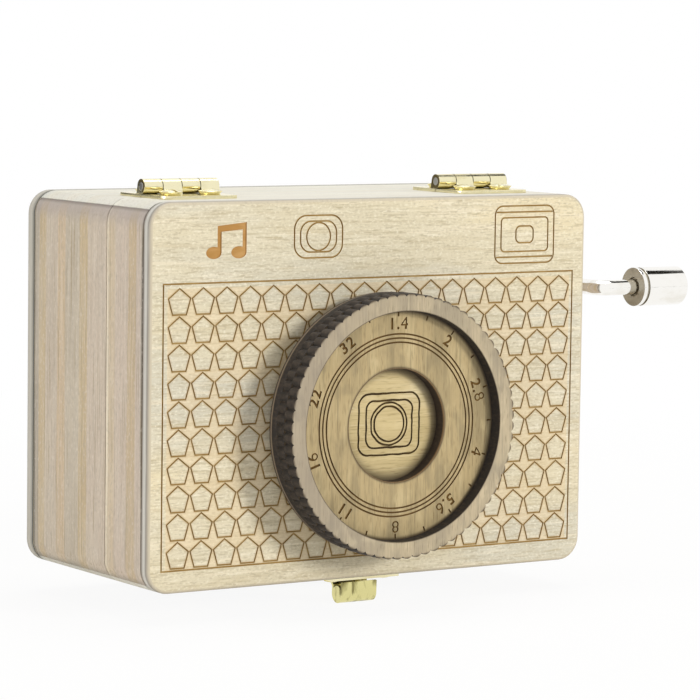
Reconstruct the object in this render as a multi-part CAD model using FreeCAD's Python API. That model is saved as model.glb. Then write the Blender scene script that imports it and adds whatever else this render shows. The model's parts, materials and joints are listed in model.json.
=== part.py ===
import FreeCAD, Part
import math
import os

# Wooden music box in the shape of a camera, turned by a hand crank on its right side.
# The front shell is a lid: it swings up on two hinges on top and is held by a clasp underneath.
# Sizes are worked out from the left front bottom corner of the wooden case,
# with X to the right, Y to the back and Z up, and the whole is moved to its origin when saved.

Vec = FreeCAD.Vector
X_DIR = Vec(1, 0, 0)
Y_DIR = Vec(0, 1, 0)
Z_DIR = Vec(0, 0, 1)

# Wooden case and lid
case_width = 108.6
case_height = 80.0
case_depth = 52.6
lid_depth = 18.2
seam_gap = 0.2
board_thickness = 6.0
panel_thickness = 3.0
corner_radius = 5.0

# Fits
snug = 0.02
running = 0.05

# Engraved lines on the front panel and the lens discs; the rounded frames are given
# as width, height and corner radius
line_width = 0.35
line_depth = 0.25
frame_side_margin = 3.2
frame_bottom_margin = 4.7
frame_top_margin = 16.6
window_icon_drop = 7.7
window_icon_from_left = 40.1
window_icon_outer = (11.75, 8.8, 2.8)
window_icon_inner = (8.8, 6.4, 2.4)
window_icon_ring = 2.9
finder_icon_drop = 8.4
finder_icon_from_right = 16.1
finder_icon_outer = (15.45, 12.3, 1.9)
finder_icon_inner = (12.3, 7.3, 0.9)
finder_icon_spot = (4.55, 3.6, 1.1)
finder_line_spacing = 9.65

# Lens built up from discs of thin board
lens_height = 33.1
lens_layer = 3.0
spacer_radius = 22.0
base_disc_radius = 27.5
knurl_crest_radius = 27.8
knurl_depth = 0.6
knurl_count = 72
front_ring_bore_radius = 24.1
middle_bore_radius = 11.9
dial_line_radii = (19.15, 18.28, 17.4)
lens_frame_outer = (15.1, 12.9, 2.4)
lens_frame_inner = (11.5, 9.9, 1.9)
lens_ring_radii = (4.5, 3.7)

# Hinges
hinge_length = 18.0
left_hinge_inset = 8.0
right_hinge_inset = 9.15
leaf_reach = 10.0
leaf_thickness = 0.7
leaf_corner_radius = 1.8
leaf_gap = 0.2
barrel_radius = 1.55
barrel_lift = 0.05
hinge_pin_radius = 0.85
knuckle_count = 4
knuckle_gap = 0.1
ramp_reach = 1.9
ramp_foot_turn = math.radians(65)
hinge_screw_spacing = 9.4
hinge_screw_from_barrel = 5.0

# Oval-headed wood screws of the hinges, whose heads stand proud of the leaf
oval_rim_radius = 2.55
oval_foot_radius = 2.0
oval_rim_height = 0.7
oval_dome_height = 0.45
oval_slot_width = 0.6
oval_slot_depth = 0.5
slot_turn_step = 47.0
wood_screw_radius = 0.9
wood_screw_length = 4.4
screw_tip_radius = 0.1

# Clasp
clasp_plate_width = 17.0
clasp_plate_thickness = 0.6
clasp_plate_length = 7.6
clasp_pin_behind_seam = 2.0
clasp_pin_drop = 1.5
clasp_knuckle_radius = 1.1
clasp_pin_radius = 0.5
clasp_flap_width = 8.7
clasp_side_gap = 0.15
flap_thickness = 0.6
flap_flat_length = 10.8
flap_window_width = 5.2
flap_window_length = 5.0
flap_bar_length = 0.8
flap_neck_radius = 1.3
flap_curl_drop = 1.0
flap_curl_radius = 1.7
flap_lip_rise = 0.4
flap_heel_rise = 0.5
flap_rest_angle = 2.0
striker_thickness = 0.8
striker_front_margin = 2.2
striker_length = 12.8
striker_screw_from_front = 3.4
hook_width = 4.0
hook_length = 1.8
hook_catch = 0.25
hook_clearance = 0.4
clasp_screw_spacing = 12.8
clasp_screw_behind_middle = 0.6
small_rim_radius = 1.6
small_foot_radius = 1.25
small_rim_height = 0.4
small_dome_height = 0.3
small_slot_width = 0.5
small_slot_depth = 0.35
small_screw_radius = 0.7
small_screw_length = 4.0

# Crank
rod_radius = 1.7
crank_axis_below_top = 21.4
crank_arm_length = 25.0
crank_arm_from_wall = 10.4
crank_bend_radius = 3.0
crank_grip_start = 9.2
knob_length = 12.3
knob_radius = 4.3
knob_face_thickness = 1.0
knob_groove_width = 0.6
knob_groove_depth = 0.4
knob_edge_radius = 0.5
knob_bush_wall = 0.4
knob_bush_recess = 0.6
knob_bush_flange_radius = 2.7
knob_bush_flange_thickness = 0.8
knob_cap_thickness = 1.4
knob_cap_lip = 0.4
wall_bush_radius = 2.6
wall_bush_flange_radius = 4.2
wall_bush_flange_thickness = 0.8

# Worm drive
worm_module = 0.9
wheel_teeth = 14
worm_pitch_radius = 2.5
worm_core_radius = 1.7
tooth_addendum = 0.6
tooth_dedendum = 1.0
tooth_width_at_pitch = 1.1
tooth_sink = 0.5
flank_slope = math.tan(math.radians(20.0))
worm_turns = 3.0
thread_sink = 0.1
wheel_width = 2.4
wheel_hub_radius = 3.4
wheel_hub_length = 3.9
wheel_floor_clearance = 0.9

# Pin cylinder and comb
cylinder_radius = 6.4
cylinder_wall = 0.7
cylinder_length = 17.5
pin_radius = 0.22
pin_height = 0.6
pins_per_track = 5
track_turn = 137.5
pin_turn_growth = 11.0
arbor_radius = 1.2
arbor_overhang = 0.6
end_plate_thickness = 1.2
collar_radius = 2.4
collar_thickness = 1.0
comb_teeth = 18
comb_thickness = 1.0
comb_slit = 0.22
comb_tip_gap = 0.15
comb_short_tooth = 7.4
comb_long_tooth = 11.6
comb_base_length = 6.6
comb_screw_spacing = 9.0

# Bed plate and brackets
bed_thickness = 2.0
bed_foot_height = 2.0
bed_foot_radius = 3.2
bed_wall_gap = 1.8
bed_corner_radius = 3.0
bed_window_margin = 1.1
bed_edge = 1.0
bracket_thickness = 1.2
bracket_width = 8.0
bracket_foot_length = 6.4
bracket_head_reach = 3.2
lower_bracket_gap = 1.4
upper_bracket_gap = 2.2
shaft_bracket_reach = 9.5
shaft_bracket_foot = 5.4
worm_journal_radius = 1.5
worm_shoulder_radius = 2.4
worm_shoulder_thickness = 0.7
worm_end_play = 0.1
worm_core_overhang = 0.5
journal_overhang = 0.8
socket_length = 6.0
socket_radius = 2.4
socket_depth = 5.6
machine_head_radius = 1.9
machine_head_height = 1.2
machine_screw_radius = 0.95
mount_screw_radius = 1.45
mount_head_radius = 2.8
mount_head_depth = 1.6
mount_head_recess = 0.1
slot_width = 0.6
slot_depth = 0.5

# Places that follow from the sizes
lens_x = case_width / 2
clasp_x = case_width / 2
seam_y = lid_depth
panel_inner_y = case_depth - panel_thickness
hinge_axis_z = case_height + leaf_thickness + barrel_lift + barrel_radius
lens_front = 4 * lens_layer
wheel_pitch_radius = worm_module * wheel_teeth / 2
wheel_tip_radius = wheel_pitch_radius + tooth_addendum
wheel_root_radius = wheel_pitch_radius - tooth_dedendum
worm_tip_radius = worm_pitch_radius + tooth_addendum
worm_pitch = math.pi * worm_module
centre_distance = wheel_pitch_radius + worm_pitch_radius
worm_length = worm_turns * worm_pitch
wall_inner_x = case_width - board_thickness
cylinder_y = panel_inner_y - wheel_tip_radius - wheel_floor_clearance
crank_y = cylinder_y - centre_distance
crank_z = case_height - crank_axis_below_top
bed_right = wall_inner_x - bed_wall_gap
right_ear_x = bed_right - shaft_bracket_foot - bed_edge - bracket_thickness
cylinder_x = right_ear_x - shaft_bracket_reach
left_ear_x = cylinder_x - shaft_bracket_reach - bracket_thickness
cylinder_top_z = crank_z - wheel_width / 2 - wheel_hub_length
cylinder_bottom_z = cylinder_top_z - cylinder_length
lower_ear_z = cylinder_bottom_z - lower_bracket_gap - bracket_thickness
upper_ear_z = crank_z + wheel_width / 2 + upper_bracket_gap
bed_floor_y = panel_inner_y - bed_foot_height
bed_top_y = bed_floor_y - bed_thickness
bed_bottom_z = lower_ear_z - bracket_foot_length - bed_edge
bed_top_z = upper_ear_z + bracket_thickness + bracket_foot_length + bed_edge
comb_tip_x = cylinder_x - cylinder_radius - pin_height - comb_tip_gap
comb_base_x = comb_tip_x - comb_long_tooth - comb_base_length
bed_left = comb_base_x - bed_edge
arm_x = case_width + crank_arm_from_wall
knob_y = crank_y - crank_arm_length
knob_start_x = arm_x + crank_grip_start
knob_end_x = knob_start_x + knob_length
bush_end_x = knob_end_x - knob_cap_thickness - running
bush_flange_x = bush_end_x - knob_bush_flange_thickness
clasp_pin_y = seam_y + clasp_pin_behind_seam
clasp_plate_middle_y = clasp_pin_y + clasp_knuckle_radius + clasp_plate_length / 2
clasp_plate_screw_y = clasp_plate_middle_y + clasp_screw_behind_middle
striker_screw_y = striker_front_margin + striker_screw_from_front
curl_reach = flap_flat_length + flap_neck_radius + flap_curl_radius
curl_drop = flap_neck_radius + flap_curl_drop
rest_turn = math.radians(flap_rest_angle)
curl_low = curl_reach * math.sin(rest_turn) + curl_drop * math.cos(rest_turn)
lowest_z = -clasp_pin_drop - curl_low - flap_curl_radius - flap_thickness / 2
origin = Vec(knob_end_x / 2, (case_depth - lens_front) / 2, lowest_z)


def box(x0, x1, y0, y1, z0, z1):
    return Part.makeBox(x1 - x0, y1 - y0, z1 - z0, Vec(x0, y0, z0))


def bar_x(x0, x1, y, z, radius):
    return Part.makeCylinder(radius, x1 - x0, Vec(x0, y, z), X_DIR)


def bar_y(x, y0, y1, z, radius):
    return Part.makeCylinder(radius, y1 - y0, Vec(x, y0, z), Y_DIR)


def bar_z(x, y, z0, z1, radius):
    return Part.makeCylinder(radius, z1 - z0, Vec(x, y, z0), Z_DIR)


def prism(points, direction):
    wire = Part.makePolygon(points + [points[0]])
    return Part.Face(wire).extrude(direction)


def rounded_slab(x0, x1, y0, y1, z0, z1, radius):
    """A slab in the XZ plane with its four corners rounded."""
    slab = box(x0, x1, y0, y1, z0, z1)
    edges = [e for e in slab.Edges if abs(e.tangentAt(e.FirstParameter).y) > 0.9]
    return slab.makeFillet(radius, edges)


def engraved_frame(x, z, y_face, size):
    """The groove of a rounded rectangle, centred on x and z, cut from the face at y_face."""
    width, height, radius = size
    half = line_width / 2
    outer = rounded_slab(x - width / 2 - half, x + width / 2 + half, y_face, y_face + line_depth,
                         z - height / 2 - half, z + height / 2 + half, radius + half)
    inner = rounded_slab(x - width / 2 + half, x + width / 2 - half, y_face, y_face + line_depth,
                         z - height / 2 + half, z + height / 2 - half, radius - half)
    return outer.cut(inner)


def engraved_circle(x, z, y_face, radius):
    half = line_width / 2
    outer = bar_y(x, y_face, y_face + line_depth, z, radius + half)
    return outer.cut(bar_y(x, y_face, y_face + line_depth, z, radius - half))


def scalloped_disc(y0, y1, phase):
    """A disc with a scalloped rim: arcs that meet in sharp notches."""
    pitch = 2 * math.pi / knurl_count
    notch_radius = knurl_crest_radius - knurl_depth

    def on_rim(radius, step):
        turn = (step + phase) * pitch
        return Vec(lens_x + radius * math.cos(turn), y0, lens_height + radius * math.sin(turn))

    arcs = []
    for i in range(knurl_count):
        crest = on_rim(knurl_crest_radius, i + 0.5)
        arcs.append(Part.Arc(on_rim(notch_radius, i), crest, on_rim(notch_radius, i + 1)).toShape())
    return Part.Face(Part.Wire(arcs)).extrude(Vec(0, y1 - y0, 0))


def oval_screw(head_sizes, slot_sizes, shank_sizes):
    """A slotted wood screw on the Z axis, with its oval head standing on z zero."""
    rim, foot, rim_height, dome_height = head_sizes
    slot_w, slot_d = slot_sizes
    shank_r, shank_l = shank_sizes
    top = rim_height + dome_height
    ball = (rim * rim + dome_height * dome_height) / (2 * dome_height)
    dome = Part.makeSphere(ball, Vec(0, 0, top - ball))
    dome = dome.common(box(-rim, rim, -rim, rim, rim_height, top))
    flare = Part.makeCone(foot, rim, rim_height)
    head = flare.fuse(dome).cut(box(-slot_w / 2, slot_w / 2, -rim, rim, top - slot_d, top))
    shank = bar_z(0, 0, shank_r - shank_l, 0, shank_r)
    point = Part.makeCone(screw_tip_radius, shank_r, shank_r, Vec(0, 0, -shank_l), Z_DIR)
    return head.fuse([shank, point]).removeSplitter()


def drill(spots, z0, z1, radius):
    """The snug holes for screws at the given places."""
    return [bar_z(x, y, z0, z1, radius + snug) for x, y in spots]


# Wooden boards: four mitred boards for each shell
def mitred_boards(y0, y1):
    outer = rounded_slab(0, case_width, y0, y1, 0, case_height, corner_radius)
    hollow = box(board_thickness, case_width - board_thickness, y0, y1,
                 board_thickness, case_height - board_thickness)
    ring = outer.cut(hollow)
    w, h, t = case_width, case_height, board_thickness
    corners = {
        "top": [(0, h), (w, h), (w - t, h - t), (t, h - t)],
        "bottom": [(0, 0), (t, t), (w - t, t), (w, 0)],
        "left": [(0, 0), (0, h), (t, h - t), (t, t)],
        "right": [(w, 0), (w - t, t), (w - t, h - t), (w, h)],
    }
    boards = {}
    for side, outline in corners.items():
        wedge = prism([Vec(x, y0, z) for x, z in outline], Vec(0, y1 - y0, 0))
        boards[side] = ring.common(wedge)
    return boards


def hinge_lefts():
    return {"left": left_hinge_inset, "right": case_width - right_hinge_inset - hinge_length}


def hinge_screw_spots(side):
    """Screw places on the rear (+1) or front (-1) leaves of both hinges."""
    spots = []
    for x0 in hinge_lefts().values():
        middle = x0 + hinge_length / 2
        for step in (-0.5, 0.5):
            spots.append((middle + step * hinge_screw_spacing,
                          seam_y + side * hinge_screw_from_barrel))
    return spots


def clasp_screw_spots(y):
    return [(clasp_x + step * clasp_screw_spacing, y) for step in (-0.5, 0.5)]


def front_panel():
    panel = rounded_slab(0, case_width, 0, panel_thickness, 0, case_height, corner_radius)
    frame_top = case_height - frame_top_margin
    border = box(frame_side_margin, case_width - frame_side_margin, 0, line_depth,
                 frame_bottom_margin, frame_top)
    inside = box(frame_side_margin + line_width, case_width - frame_side_margin - line_width,
                 0, line_depth, frame_bottom_margin + line_width, frame_top - line_width)
    grooves = [border.cut(inside)]
    window_z = case_height - window_icon_drop
    for frame in (window_icon_outer, window_icon_inner):
        grooves.append(engraved_frame(window_icon_from_left, window_z, 0, frame))
    grooves.append(engraved_circle(window_icon_from_left, window_z, 0, window_icon_ring))
    finder_x = case_width - finder_icon_from_right
    finder_z = case_height - finder_icon_drop
    for frame in (finder_icon_outer, finder_icon_inner, finder_icon_spot):
        grooves.append(engraved_frame(finder_x, finder_z, 0, frame))
    half = finder_icon_outer[0] / 2
    for side in (-1, 1):
        line_z = finder_z + side * finder_line_spacing / 2
        grooves.append(box(finder_x - half, finder_x + half, 0, line_depth,
                           line_z - line_width / 2, line_z + line_width / 2))
    for groove in grooves:
        panel = panel.cut(groove)
    return panel


def lens():
    spacer = bar_y(lens_x, -lens_layer, 0, lens_height, spacer_radius)
    base = bar_y(lens_x, -2 * lens_layer, -lens_layer, lens_height, base_disc_radius)
    grooves = [engraved_frame(lens_x, lens_height, -2 * lens_layer, lens_frame_outer),
               engraved_frame(lens_x, lens_height, -2 * lens_layer, lens_frame_inner)]
    grooves += [engraved_circle(lens_x, lens_height, -2 * lens_layer, r) for r in lens_ring_radii]
    for groove in grooves:
        base = base.cut(groove)
    middle = scalloped_disc(-3 * lens_layer, -2 * lens_layer, 0.5)
    middle = middle.cut(bar_y(lens_x, -3 * lens_layer, -2 * lens_layer, lens_height,
                              middle_bore_radius))
    middle = middle.cut([engraved_circle(lens_x, lens_height, -3 * lens_layer, r)
                         for r in dial_line_radii])
    ring = scalloped_disc(-4 * lens_layer, -3 * lens_layer, 0.0)
    ring = ring.cut(bar_y(lens_x, -4 * lens_layer, -3 * lens_layer, lens_height,
                          front_ring_bore_radius))
    return {"lens_spacer_disc": spacer, "lens_base_disc": base,
            "lens_middle_plate": middle, "lens_front_ring": ring}


def hinge_leaf(x0, side, knuckles, bore_radius):
    """A leaf on the rear (+1) or front (-1) side, with its rolled knuckles."""
    flat = box(x0, x0 + hinge_length, leaf_gap / 2, leaf_reach, case_height,
               case_height + leaf_thickness)
    corners = [e for e in flat.Edges
               if e.Length < 2 * leaf_thickness and abs(e.CenterOfMass.y - leaf_reach) < 1e-6]
    flat = flat.makeFillet(leaf_corner_radius, corners)
    pitch = hinge_length / knuckle_count
    axis_rise = hinge_axis_z - case_height
    solids = [flat]
    for i in knuckles:
        a = x0 + i * pitch + knuckle_gap / 2
        b = x0 + (i + 1) * pitch - knuckle_gap / 2
        tube = bar_x(a, b, 0, hinge_axis_z, barrel_radius)
        ramp = [(ramp_reach, 0), (ramp_reach, leaf_thickness), (barrel_radius, axis_rise),
                (barrel_radius * math.cos(ramp_foot_turn),
                 axis_rise - barrel_radius * math.sin(ramp_foot_turn))]
        web = prism([Vec(a, y, case_height + z) for y, z in ramp], Vec(b - a, 0, 0))
        solids += [tube, web]
    leaf = solids[0].fuse(solids[1:]).removeSplitter()
    leaf = leaf.cut(bar_x(x0, x0 + hinge_length, 0, hinge_axis_z, bore_radius))
    if side < 0:
        leaf = leaf.mirror(Vec(0, 0, 0), Y_DIR)
    leaf.translate(Vec(0, seam_y, 0))
    return leaf.cut(drill(hinge_screw_spots(side), case_height, case_height + leaf_thickness,
                          wood_screw_radius))


def clasp_knuckles():
    half_flap = clasp_flap_width / 2 + clasp_side_gap
    half_plate = clasp_plate_width / 2
    return [(clasp_x - half_plate, clasp_x - half_flap), (clasp_x + half_flap, clasp_x + half_plate)]


def clasp_plate():
    y_notch = clasp_pin_y + clasp_knuckle_radius + clasp_side_gap
    y_end = clasp_pin_y + clasp_knuckle_radius + clasp_plate_length
    half_plate = clasp_plate_width / 2
    solids = [box(clasp_x - half_plate, clasp_x + half_plate, y_notch, y_end,
                  -clasp_plate_thickness, 0)]
    for a, b in clasp_knuckles():
        solids.append(bar_x(a, b, clasp_pin_y, -clasp_pin_drop, clasp_knuckle_radius))
        solids.append(box(a, b, clasp_pin_y, y_notch, -clasp_plate_thickness, 0))
    plate = solids[0].fuse(solids[1:]).removeSplitter()
    plate = plate.cut(bar_x(clasp_x - half_plate, clasp_x + half_plate, clasp_pin_y,
                            -clasp_pin_drop, clasp_pin_radius + snug))
    return plate.cut(drill(clasp_screw_spots(clasp_plate_screw_y), -clasp_plate_thickness, 0,
                           small_screw_radius))


def ring_sector(y, z, mid_radius, corner_a, corner_b):
    """The part of a bent sheet's ring that lies in the box between two corners."""
    half = clasp_flap_width / 2
    outer = bar_x(-half, half, y, z, mid_radius + flap_thickness / 2)
    ring = outer.cut(bar_x(-half, half, y, z, mid_radius - flap_thickness / 2))
    return ring.common(box(-half, half, corner_a[0], corner_b[0], corner_a[1], corner_b[1]))


def clasp_flap():
    """The swinging flap: knuckle, flat with a window, and a lip with a heel for the finger."""
    half = clasp_flap_width / 2
    t = flap_thickness / 2
    neck_y = -flap_flat_length
    back_y = neck_y - flap_neck_radius
    back_z = -flap_neck_radius - flap_curl_drop
    curl_y = back_y - flap_curl_radius
    lip_y = curl_y - flap_curl_radius
    far = 3 * flap_curl_radius
    solids = [
        bar_x(-half, half, 0, 0, clasp_knuckle_radius),
        box(-half, half, neck_y, -clasp_pin_radius, -t, t),
        ring_sector(neck_y, -flap_neck_radius, flap_neck_radius,
                    (neck_y - far, -flap_neck_radius), (neck_y, far)),
        box(-half, half, back_y - t, back_y + t, back_z, -flap_neck_radius),
        ring_sector(curl_y, back_z, flap_curl_radius, (curl_y - far, back_z - far),
                    (curl_y + far, back_z)),
        box(-half, half, lip_y - t, lip_y + t, back_z, flap_lip_rise),
        bar_x(-half, half, curl_y, back_z, flap_curl_radius),
        box(-half, half, lip_y, back_y, back_z, back_z + flap_heel_rise),
    ]
    flap = solids[0].fuse(solids[1:]).removeSplitter()
    window_front = neck_y + flap_bar_length
    window = box(-flap_window_width / 2, flap_window_width / 2, window_front,
                 window_front + flap_window_length, -2 * t, 2 * t)
    flap = flap.cut([window, bar_x(-half, half, 0, 0, clasp_pin_radius + running)])
    flap.rotate(Vec(0, 0, 0), X_DIR, flap_rest_angle)
    flap.translate(Vec(clasp_x, clasp_pin_y, -clasp_pin_drop))
    return flap


def clasp_striker():
    """The plate on the lid, with the low hook that the flap's window drops over."""
    half = clasp_plate_width / 2
    y0 = striker_front_margin
    plate = box(clasp_x - half, clasp_x + half, y0, y0 + striker_length, -striker_thickness, 0)
    window_front = clasp_pin_y - flap_flat_length + flap_bar_length
    hook_front = window_front + hook_clearance
    hook_low = -clasp_pin_drop + flap_thickness / 2 - hook_catch
    nose = [(hook_front, -striker_thickness / 2), (hook_front, hook_low),
            (hook_front + hook_length / 3, hook_low),
            (hook_front + hook_length, -striker_thickness / 2)]
    hook = prism([Vec(clasp_x - hook_width / 2, y, z) for y, z in nose], Vec(hook_width, 0, 0))
    striker = plate.fuse(hook).removeSplitter()
    return striker.cut(drill(clasp_screw_spots(striker_screw_y), -striker_thickness, 0,
                             small_screw_radius))


def slotted_screw(x, y, z, head_y, shank_y, head_radius, shank_radius):
    """A flat-headed screw along Y whose head stands out from head_y towards the front."""
    head = bar_y(x, head_y - machine_head_height, head_y, z, head_radius)
    slot = box(x - head_radius, x + head_radius, head_y - machine_head_height,
               head_y - machine_head_height + slot_depth, z - slot_width / 2, z + slot_width / 2)
    return head.cut(slot).fuse(bar_y(x, head_y, shank_y, z, shank_radius)).removeSplitter()


def bed_foot_spots():
    inset = bed_edge + bed_foot_radius
    return [(bed_left + inset, bed_bottom_z + inset), (bed_left + inset, bed_top_z - inset),
            (bed_right - inset, bed_bottom_z + inset)]


def bracket_screw_spots():
    foot = bracket_foot_length / 2
    side_foot = shaft_bracket_foot / 2
    return [(cylinder_x, lower_ear_z - foot),
            (cylinder_x, upper_ear_z + bracket_thickness + foot),
            (left_ear_x - side_foot, crank_z),
            (right_ear_x + bracket_thickness + side_foot, crank_z)]


def comb_screw_spots():
    middle = (cylinder_top_z + cylinder_bottom_z) / 2
    return [(comb_base_x + comb_base_length / 2, middle + step * comb_screw_spacing)
            for step in (-0.5, 0.5)]


def bed_plate():
    slab = rounded_slab(bed_left, bed_right, bed_top_y, bed_floor_y, bed_bottom_z, bed_top_z,
                        bed_corner_radius)
    boss_top = cylinder_y + comb_thickness / 2
    boss = box(comb_base_x, comb_base_x + comb_base_length, boss_top, bed_top_y,
               cylinder_bottom_z, cylinder_top_z)
    feet = [bar_y(x, bed_floor_y, panel_inner_y, z, bed_foot_radius) for x, z in bed_foot_spots()]
    bed = slab.fuse([boss] + feet).removeSplitter()
    reach = max(wheel_tip_radius, cylinder_radius + pin_height) + bed_window_margin
    cuts = [box(cylinder_x - reach, cylinder_x + reach, bed_top_y, bed_floor_y,
                lower_ear_z + bracket_thickness + bed_window_margin / 2,
                upper_ear_z - bed_window_margin / 2)]
    cuts += [bar_y(x, bed_top_y, panel_inner_y, z, mount_screw_radius + snug)
             for x, z in bed_foot_spots()]
    cuts += [bar_y(x, bed_top_y, bed_floor_y, z, machine_screw_radius + snug)
             for x, z in bracket_screw_spots()]
    cuts += [bar_y(x, boss_top, bed_floor_y, z, machine_screw_radius + snug)
             for x, z in comb_screw_spots()]
    return bed.cut(cuts)


def comb():
    """A steel comb whose teeth are longer towards the low notes at the bottom."""
    y0 = cylinder_y - comb_thickness / 2
    low, high = cylinder_bottom_z, cylinder_top_z
    root_low = comb_tip_x - comb_long_tooth
    root_high = comb_tip_x - comb_short_tooth
    outline = [(comb_base_x, low), (comb_tip_x, low), (comb_tip_x, high), (comb_base_x, high)]
    blank = prism([Vec(x, y0, z) for x, z in outline], Vec(0, comb_thickness, 0))
    pitch = (high - low) / comb_teeth
    cuts = []
    for i in range(1, comb_teeth):
        root = root_low + (root_high - root_low) * i / comb_teeth
        z = low + i * pitch
        cuts.append(box(root, comb_tip_x, y0, y0 + comb_thickness,
                        z - comb_slit / 2, z + comb_slit / 2))
    cuts += [bar_y(x, y0, y0 + comb_thickness, z, machine_screw_radius + snug)
             for x, z in comb_screw_spots()]
    return blank.cut(cuts)


def cylinder_bracket(ear_z, foot_direction):
    """An angle bracket: an ear that carries the arbor, and a foot screwed to the bed."""
    half = bracket_width / 2
    ear = box(cylinder_x - half, cylinder_x + half, cylinder_y - bracket_head_reach, bed_top_y,
              ear_z, ear_z + bracket_thickness)
    if foot_direction < 0:
        z0, z1 = ear_z - bracket_foot_length, ear_z
    else:
        z0, z1 = ear_z + bracket_thickness, ear_z + bracket_thickness + bracket_foot_length
    foot = box(cylinder_x - half, cylinder_x + half, bed_top_y - bracket_thickness, bed_top_y,
               z0, z1)
    bracket = ear.fuse(foot).removeSplitter()
    hole_z = (z0 + z1) / 2
    return bracket.cut([
        bar_z(cylinder_x, cylinder_y, ear_z, ear_z + bracket_thickness, arbor_radius + running),
        bar_y(cylinder_x, bed_top_y - bracket_thickness, bed_top_y, hole_z,
              machine_screw_radius + snug)])


def shaft_bracket(ear_x, foot_direction):
    """An angle bracket beside the worm that carries the crank shaft."""
    half = bracket_width / 2
    top = crank_y - bracket_head_reach
    ear = box(ear_x, ear_x + bracket_thickness, top, bed_top_y, crank_z - half, crank_z + half)
    if foot_direction < 0:
        x0, x1 = ear_x - shaft_bracket_foot, ear_x
    else:
        x0, x1 = ear_x + bracket_thickness, ear_x + bracket_thickness + shaft_bracket_foot
    foot = box(x0, x1, bed_top_y - bracket_thickness, bed_top_y, crank_z - half, crank_z + half)
    bracket = ear.fuse(foot).removeSplitter()
    return bracket.cut([
        bar_x(ear_x, ear_x + bracket_thickness, crank_y, crank_z, worm_journal_radius + running),
        bar_y((x0 + x1) / 2, bed_top_y - bracket_thickness, bed_top_y, crank_z,
              machine_screw_radius + snug)])


def pin_cylinder():
    """A thin cylinder with a track of unevenly spaced pins for each comb tooth.

    It is built on the Z axis from zero up, and then moved to its place.
    """
    tube = bar_z(0, 0, 0, cylinder_length, cylinder_radius)
    tube = tube.cut(bar_z(0, 0, 0, cylinder_length, cylinder_radius - cylinder_wall))
    pitch = cylinder_length / comb_teeth
    pins = []
    for track in range(comb_teeth):
        z = (track + 0.5) * pitch
        for n in range(pins_per_track):
            turn = track * track_turn + n * 360.0 / pins_per_track + n * n * pin_turn_growth
            turn = math.radians(turn % 360)
            out = Vec(math.cos(turn), math.sin(turn), 0)
            start = Vec(0, 0, z) + out * (cylinder_radius - cylinder_wall / 2)
            pins.append(Part.makeCylinder(pin_radius, pin_height + cylinder_wall / 2, start, out))
    drum = tube.fuse(pins)
    drum.translate(Vec(cylinder_x, cylinder_y, cylinder_bottom_z))
    return drum


def end_plates():
    plates = []
    inner = cylinder_radius - cylinder_wall
    for z0 in (cylinder_bottom_z, cylinder_top_z - end_plate_thickness):
        disc = bar_z(cylinder_x, cylinder_y, z0, z0 + end_plate_thickness, inner)
        plates.append(disc.cut(bar_z(cylinder_x, cylinder_y, z0, z0 + end_plate_thickness,
                                     arbor_radius)))
    return Part.makeCompound(plates)


def arbor():
    return bar_z(cylinder_x, cylinder_y, lower_ear_z - arbor_overhang,
                 upper_ear_z + bracket_thickness + arbor_overhang, arbor_radius)


def arbor_collars():
    """Two collars that keep the arbor from sliding between its brackets."""
    low = lower_ear_z + bracket_thickness + worm_end_play
    high = upper_ear_z - worm_end_play - collar_thickness
    rings = []
    for z0 in (low, high):
        ring = bar_z(cylinder_x, cylinder_y, z0, z0 + collar_thickness, collar_radius)
        rings.append(ring.cut(bar_z(cylinder_x, cylinder_y, z0, z0 + collar_thickness,
                                    arbor_radius)))
    return Part.makeCompound(rings)


def worm_wheel():
    """A wheel with slanted teeth that follow the worm's thread, and a hub on the cylinder."""
    lead_slope = worm_module / (2 * worm_pitch_radius)
    z0 = crank_z - wheel_width / 2
    body = bar_z(0, 0, z0, z0 + wheel_width, wheel_root_radius)
    hub = bar_z(0, 0, cylinder_top_z, z0, wheel_hub_radius)
    half_root = tooth_width_at_pitch / 2 + tooth_dedendum * flank_slope
    half_tip = tooth_width_at_pitch / 2 - tooth_addendum * flank_slope
    shift = -lead_slope * wheel_width / 2
    sunk = wheel_root_radius - tooth_sink
    outline = [(-half_root + shift, -sunk), (-half_root + shift, -wheel_root_radius),
               (-half_tip + shift, -wheel_tip_radius), (half_tip + shift, -wheel_tip_radius),
               (half_root + shift, -wheel_root_radius), (half_root + shift, -sunk)]
    tooth = prism([Vec(x, y, z0) for x, y in outline],
                  Vec(lead_slope * wheel_width, 0, wheel_width))
    teeth = []
    for i in range(wheel_teeth):
        copy = tooth.copy()
        copy.rotate(Vec(0, 0, 0), Z_DIR, (i + 0.5) * 360.0 / wheel_teeth)
        teeth.append(copy)
    wheel = body.fuse([hub] + teeth).removeSplitter()
    wheel = wheel.cut(bar_z(0, 0, cylinder_top_z, z0 + wheel_width, arbor_radius))
    wheel.translate(Vec(cylinder_x, cylinder_y, 0))
    return wheel


def worm_thread():
    """The worm's thread: a trapezoid swept along a right-handed helix about X."""
    helix = Part.makeHelix(worm_pitch, worm_length, worm_pitch_radius)
    inner = worm_core_radius - thread_sink
    half_in = tooth_width_at_pitch / 2 + (worm_pitch_radius - inner) * flank_slope
    half_out = tooth_width_at_pitch / 2 - tooth_addendum * flank_slope
    profile = [Vec(inner, 0, -half_in), Vec(worm_tip_radius, 0, -half_out),
               Vec(worm_tip_radius, 0, half_out), Vec(inner, 0, half_in)]
    section = Part.makePolygon(profile + [profile[0]])
    thread = Part.Wire(helix.Edges).makePipeShell([section], True, True)
    if thread.Volume < 0:
        thread.reverse()
    return thread


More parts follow.
